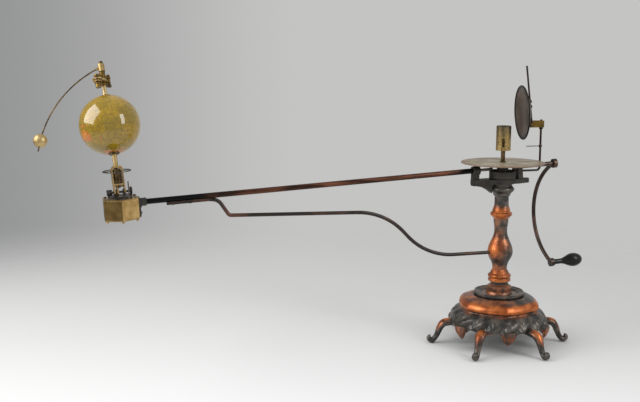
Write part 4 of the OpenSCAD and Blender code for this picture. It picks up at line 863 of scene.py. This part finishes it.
# %% Map on the globe
outlines = {
    0.62: [(-168, 66), (-156, 71), (-128, 70), (-95, 68), (-82, 73), (-62, 60), (-55, 52), (-66, 44),
           (-76, 35), (-81, 25), (-90, 30), (-97, 26), (-97, 20), (-88, 21), (-83, 10), (-78, 8),
           (-92, 15), (-106, 23), (-114, 31), (-124, 40), (-125, 49), (-135, 58), (-152, 59), (-162, 55)],
    0.3: [(-78, 8), (-62, 10), (-50, 0), (-35, -6), (-39, -18), (-48, -27), (-57, -37), (-66, -45),
          (-69, -55), (-74, -50), (-72, -30), (-71, -18), (-81, -5)],
    0.5: [(-55, 82), (-30, 83), (-20, 74), (-42, 60), (-52, 66)],
    0.2: [(-17, 15), (-10, 32), (10, 37), (32, 31), (43, 12), (51, 11), (40, -4), (40, -16), (33, -28),
          (19, -35), (12, -17), (9, 4), (-8, 4)],
    0.75: [(-9, 37), (-9, 43), (-2, 44), (-4, 48), (8, 54), (10, 58), (5, 61), (14, 68), (28, 71),
           (42, 67), (60, 68), (60, 50), (48, 45), (40, 47), (30, 46), (28, 41), (23, 37), (18, 41),
           (12, 44), (16, 38), (8, 44), (0, 40), (-5, 36)],
    0.4: [(60, 68), (80, 73), (105, 77), (140, 73), (180, 69), (190, 66), (178, 62), (163, 59), (156, 51),
          (155, 59), (137, 54), (141, 48), (130, 42), (126, 34), (118, 38), (122, 30), (115, 22),
          (108, 20), (109, 12), (103, 2), (98, 9), (97, 17), (91, 22), (80, 15), (77, 8), (72, 20),
          (66, 25), (57, 26), (60, 22), (45, 12), (35, 29), (36, 36), (28, 41), (40, 47), (48, 45),
          (60, 50)],
    1.0: [(114, -22), (122, -17), (130, -12), (136, -12), (142, -11), (146, -19), (153, -27), (150, -37),
          (140, -38), (131, -32), (116, -35)],
    0.9: [(131, -1), (141, -3), (150, -10), (141, -9), (134, -5)],
    0.85: [(109, 1), (117, 7), (118, 0), (114, -4)],
    0.8: [(95, 6), (106, -6), (100, -1)],
    0.7: [(130, 32), (140, 36), (142, 44), (139, 40)],
    0.95: [(173, -35), (178, -38), (174, -42), (167, -46), (172, -41)],
    0.25: [(44, -24), (47, -15), (50, -16), (47, -25)],
}
FACING = -62
SOUTH_COAST = -72
SOUTH_WAVE = 4
SOUTH_TINT = 0.97
latitude = np.degrees(np.concatenate([latitudes, inner]))[ring_of]
longitude = (step_of * 360 / MERIDIANS + FACING + 180) % 360 - 180


def on_land(east, north, outline):
    inside = np.zeros(len(east), dtype=bool)
    for (x0, y0), (x1, y1) in zip(outline, outline[1:] + outline[:1]):
        crosses = (y0 > north) != (y1 > north)
        if y0 != y1:
            inside ^= crosses & (east < x0 + (north - y0) / (y1 - y0) * (x1 - x0))
    return inside


south_edge = SOUTH_COAST + SOUTH_WAVE * np.sin(np.radians(3 * longitude))
land = np.where(latitude < south_edge, SOUTH_TINT, 0.0)
for tint, outline in outlines.items():
    for shift in (0, 360):
        land[on_land(longitude + shift, latitude, outline)] = tint
for name, values in (("land", land > 0), ("tint", land)):
    layer = globe.data.attributes.new(name, "FLOAT", "POINT")
    layer.data.foreach_set("value", values.astype(float))
corner_point = np.empty(len(globe.data.loops), dtype=int)
globe.data.loops.foreach_get("vertex_index", corner_point)
face_of = np.repeat(np.arange(len(globe.data.polygons)), [len(f.vertices) for f in globe.data.polygons])
east = step_of[corner_point] / MERIDIANS
most = np.zeros(len(globe.data.polygons))
np.maximum.at(most, face_of, east)
east = np.where((most[face_of] > 0.9) & (east < 0.1), east + 1, east)
sheet = globe.data.uv_layers.new(name="map")
north = latitude[corner_point] / 180 + 0.5
sheet.data.foreach_set("uv", np.stack([east, north], axis=1).ravel())
print("land share", round(float((land > 0).mean()), 2))

# %% [markdown]
# The map's paper has gone brown under its varnish. Sea and land differ little, some regions keep a tint
# of orange or green, and fine ink lines mark coasts, currents and the net. Currents are the contour lines
# of a noise. A clear coat gives the sharp reflections.

# %% Globe finish
globe_look, tree, shader = new_look("varnished_map", 0.0, 0.9, 0.07)
shader.inputs["Specular IOR Level"].default_value = 0.1
shader.inputs["Coat IOR"].default_value = 1.65
sheet_at = add_node(tree, "UVMap", uv_map="map").outputs[0]
across, up, _ = add_node(tree, "SeparateXYZ", {0: sheet_at}).outputs
is_land = add_node(tree, "Attribute", attribute_name="land").outputs["Fac"]
tint = add_node(tree, "Attribute", attribute_name="tint").outputs["Fac"]
age = place_group(tree, weathering, Scale=45.0)
regions = add_node(tree, "TexVoronoi", {"Vector": sheet_at, "Scale": 26.0, "Randomness": 0.9})
region_share = add_node(tree, "SeparateColor", {0: regions.outputs["Color"]}).outputs[0]


def net_line(value, count, half):
    near = calc(tree, "PINGPONG", value, 0.5 / count)
    return calc(tree, "LESS_THAN", near, half)


net = calc(tree, "MAXIMUM", net_line(across, 24, 0.0008), net_line(up, 12, 0.0016))
from_coast = calc(tree, "ABSOLUTE", calc(tree, "SUBTRACT", is_land, 0.5))
coast = calc(tree, "SUBTRACT", 1.0, ramp(tree, from_coast, 0.1, 0.45))
sea = blend_colour(tree, age["Patches"], rgb(156, 124, 16), rgb(130, 107, 14))
plain = blend_colour(tree, region_share, rgb(166, 120, 16), rgb(112, 98, 14))
warm = blend_colour(tree, region_share, rgb(188, 98, 26), rgb(186, 124, 36))
ground = blend_colour(tree, ramp(tree, tint, 0.7, 0.9), plain, warm)
paper = blend_colour(tree, is_land, sea, ground)
drift = add_node(tree, "TexNoise", {"Vector": sheet_at, "Scale": 9.0, "Detail": 4.0}).outputs[0]
current = calc(tree, "LESS_THAN", calc(tree, "PINGPONG", drift, 0.04), 0.006)
ink = calc(tree, "MAXIMUM", calc(tree, "MULTIPLY", net, 0.6), calc(tree, "MULTIPLY", coast, 0.7))
ink = calc(tree, "MAXIMUM", ink, calc(tree, "MULTIPLY", current, 0.5))
paper = blend_colour(tree, ink, paper, rgb(84, 66, 26))
grime = calc(tree, "MULTIPLY", age["Specks"], 0.4)
tree.links.new(blend_colour(tree, grime, paper, rgb(92, 72, 26)), shader.inputs["Base Color"])
tree.links.new(ramp(tree, age["Patches"], 0, 1, 0.38, 0.55), shader.inputs["Roughness"])
bump(tree, shader, age["Height"], 0.04)
globe.data.materials.append(globe_look)
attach(globe, "globe")
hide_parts("globe")
print("globe finished")
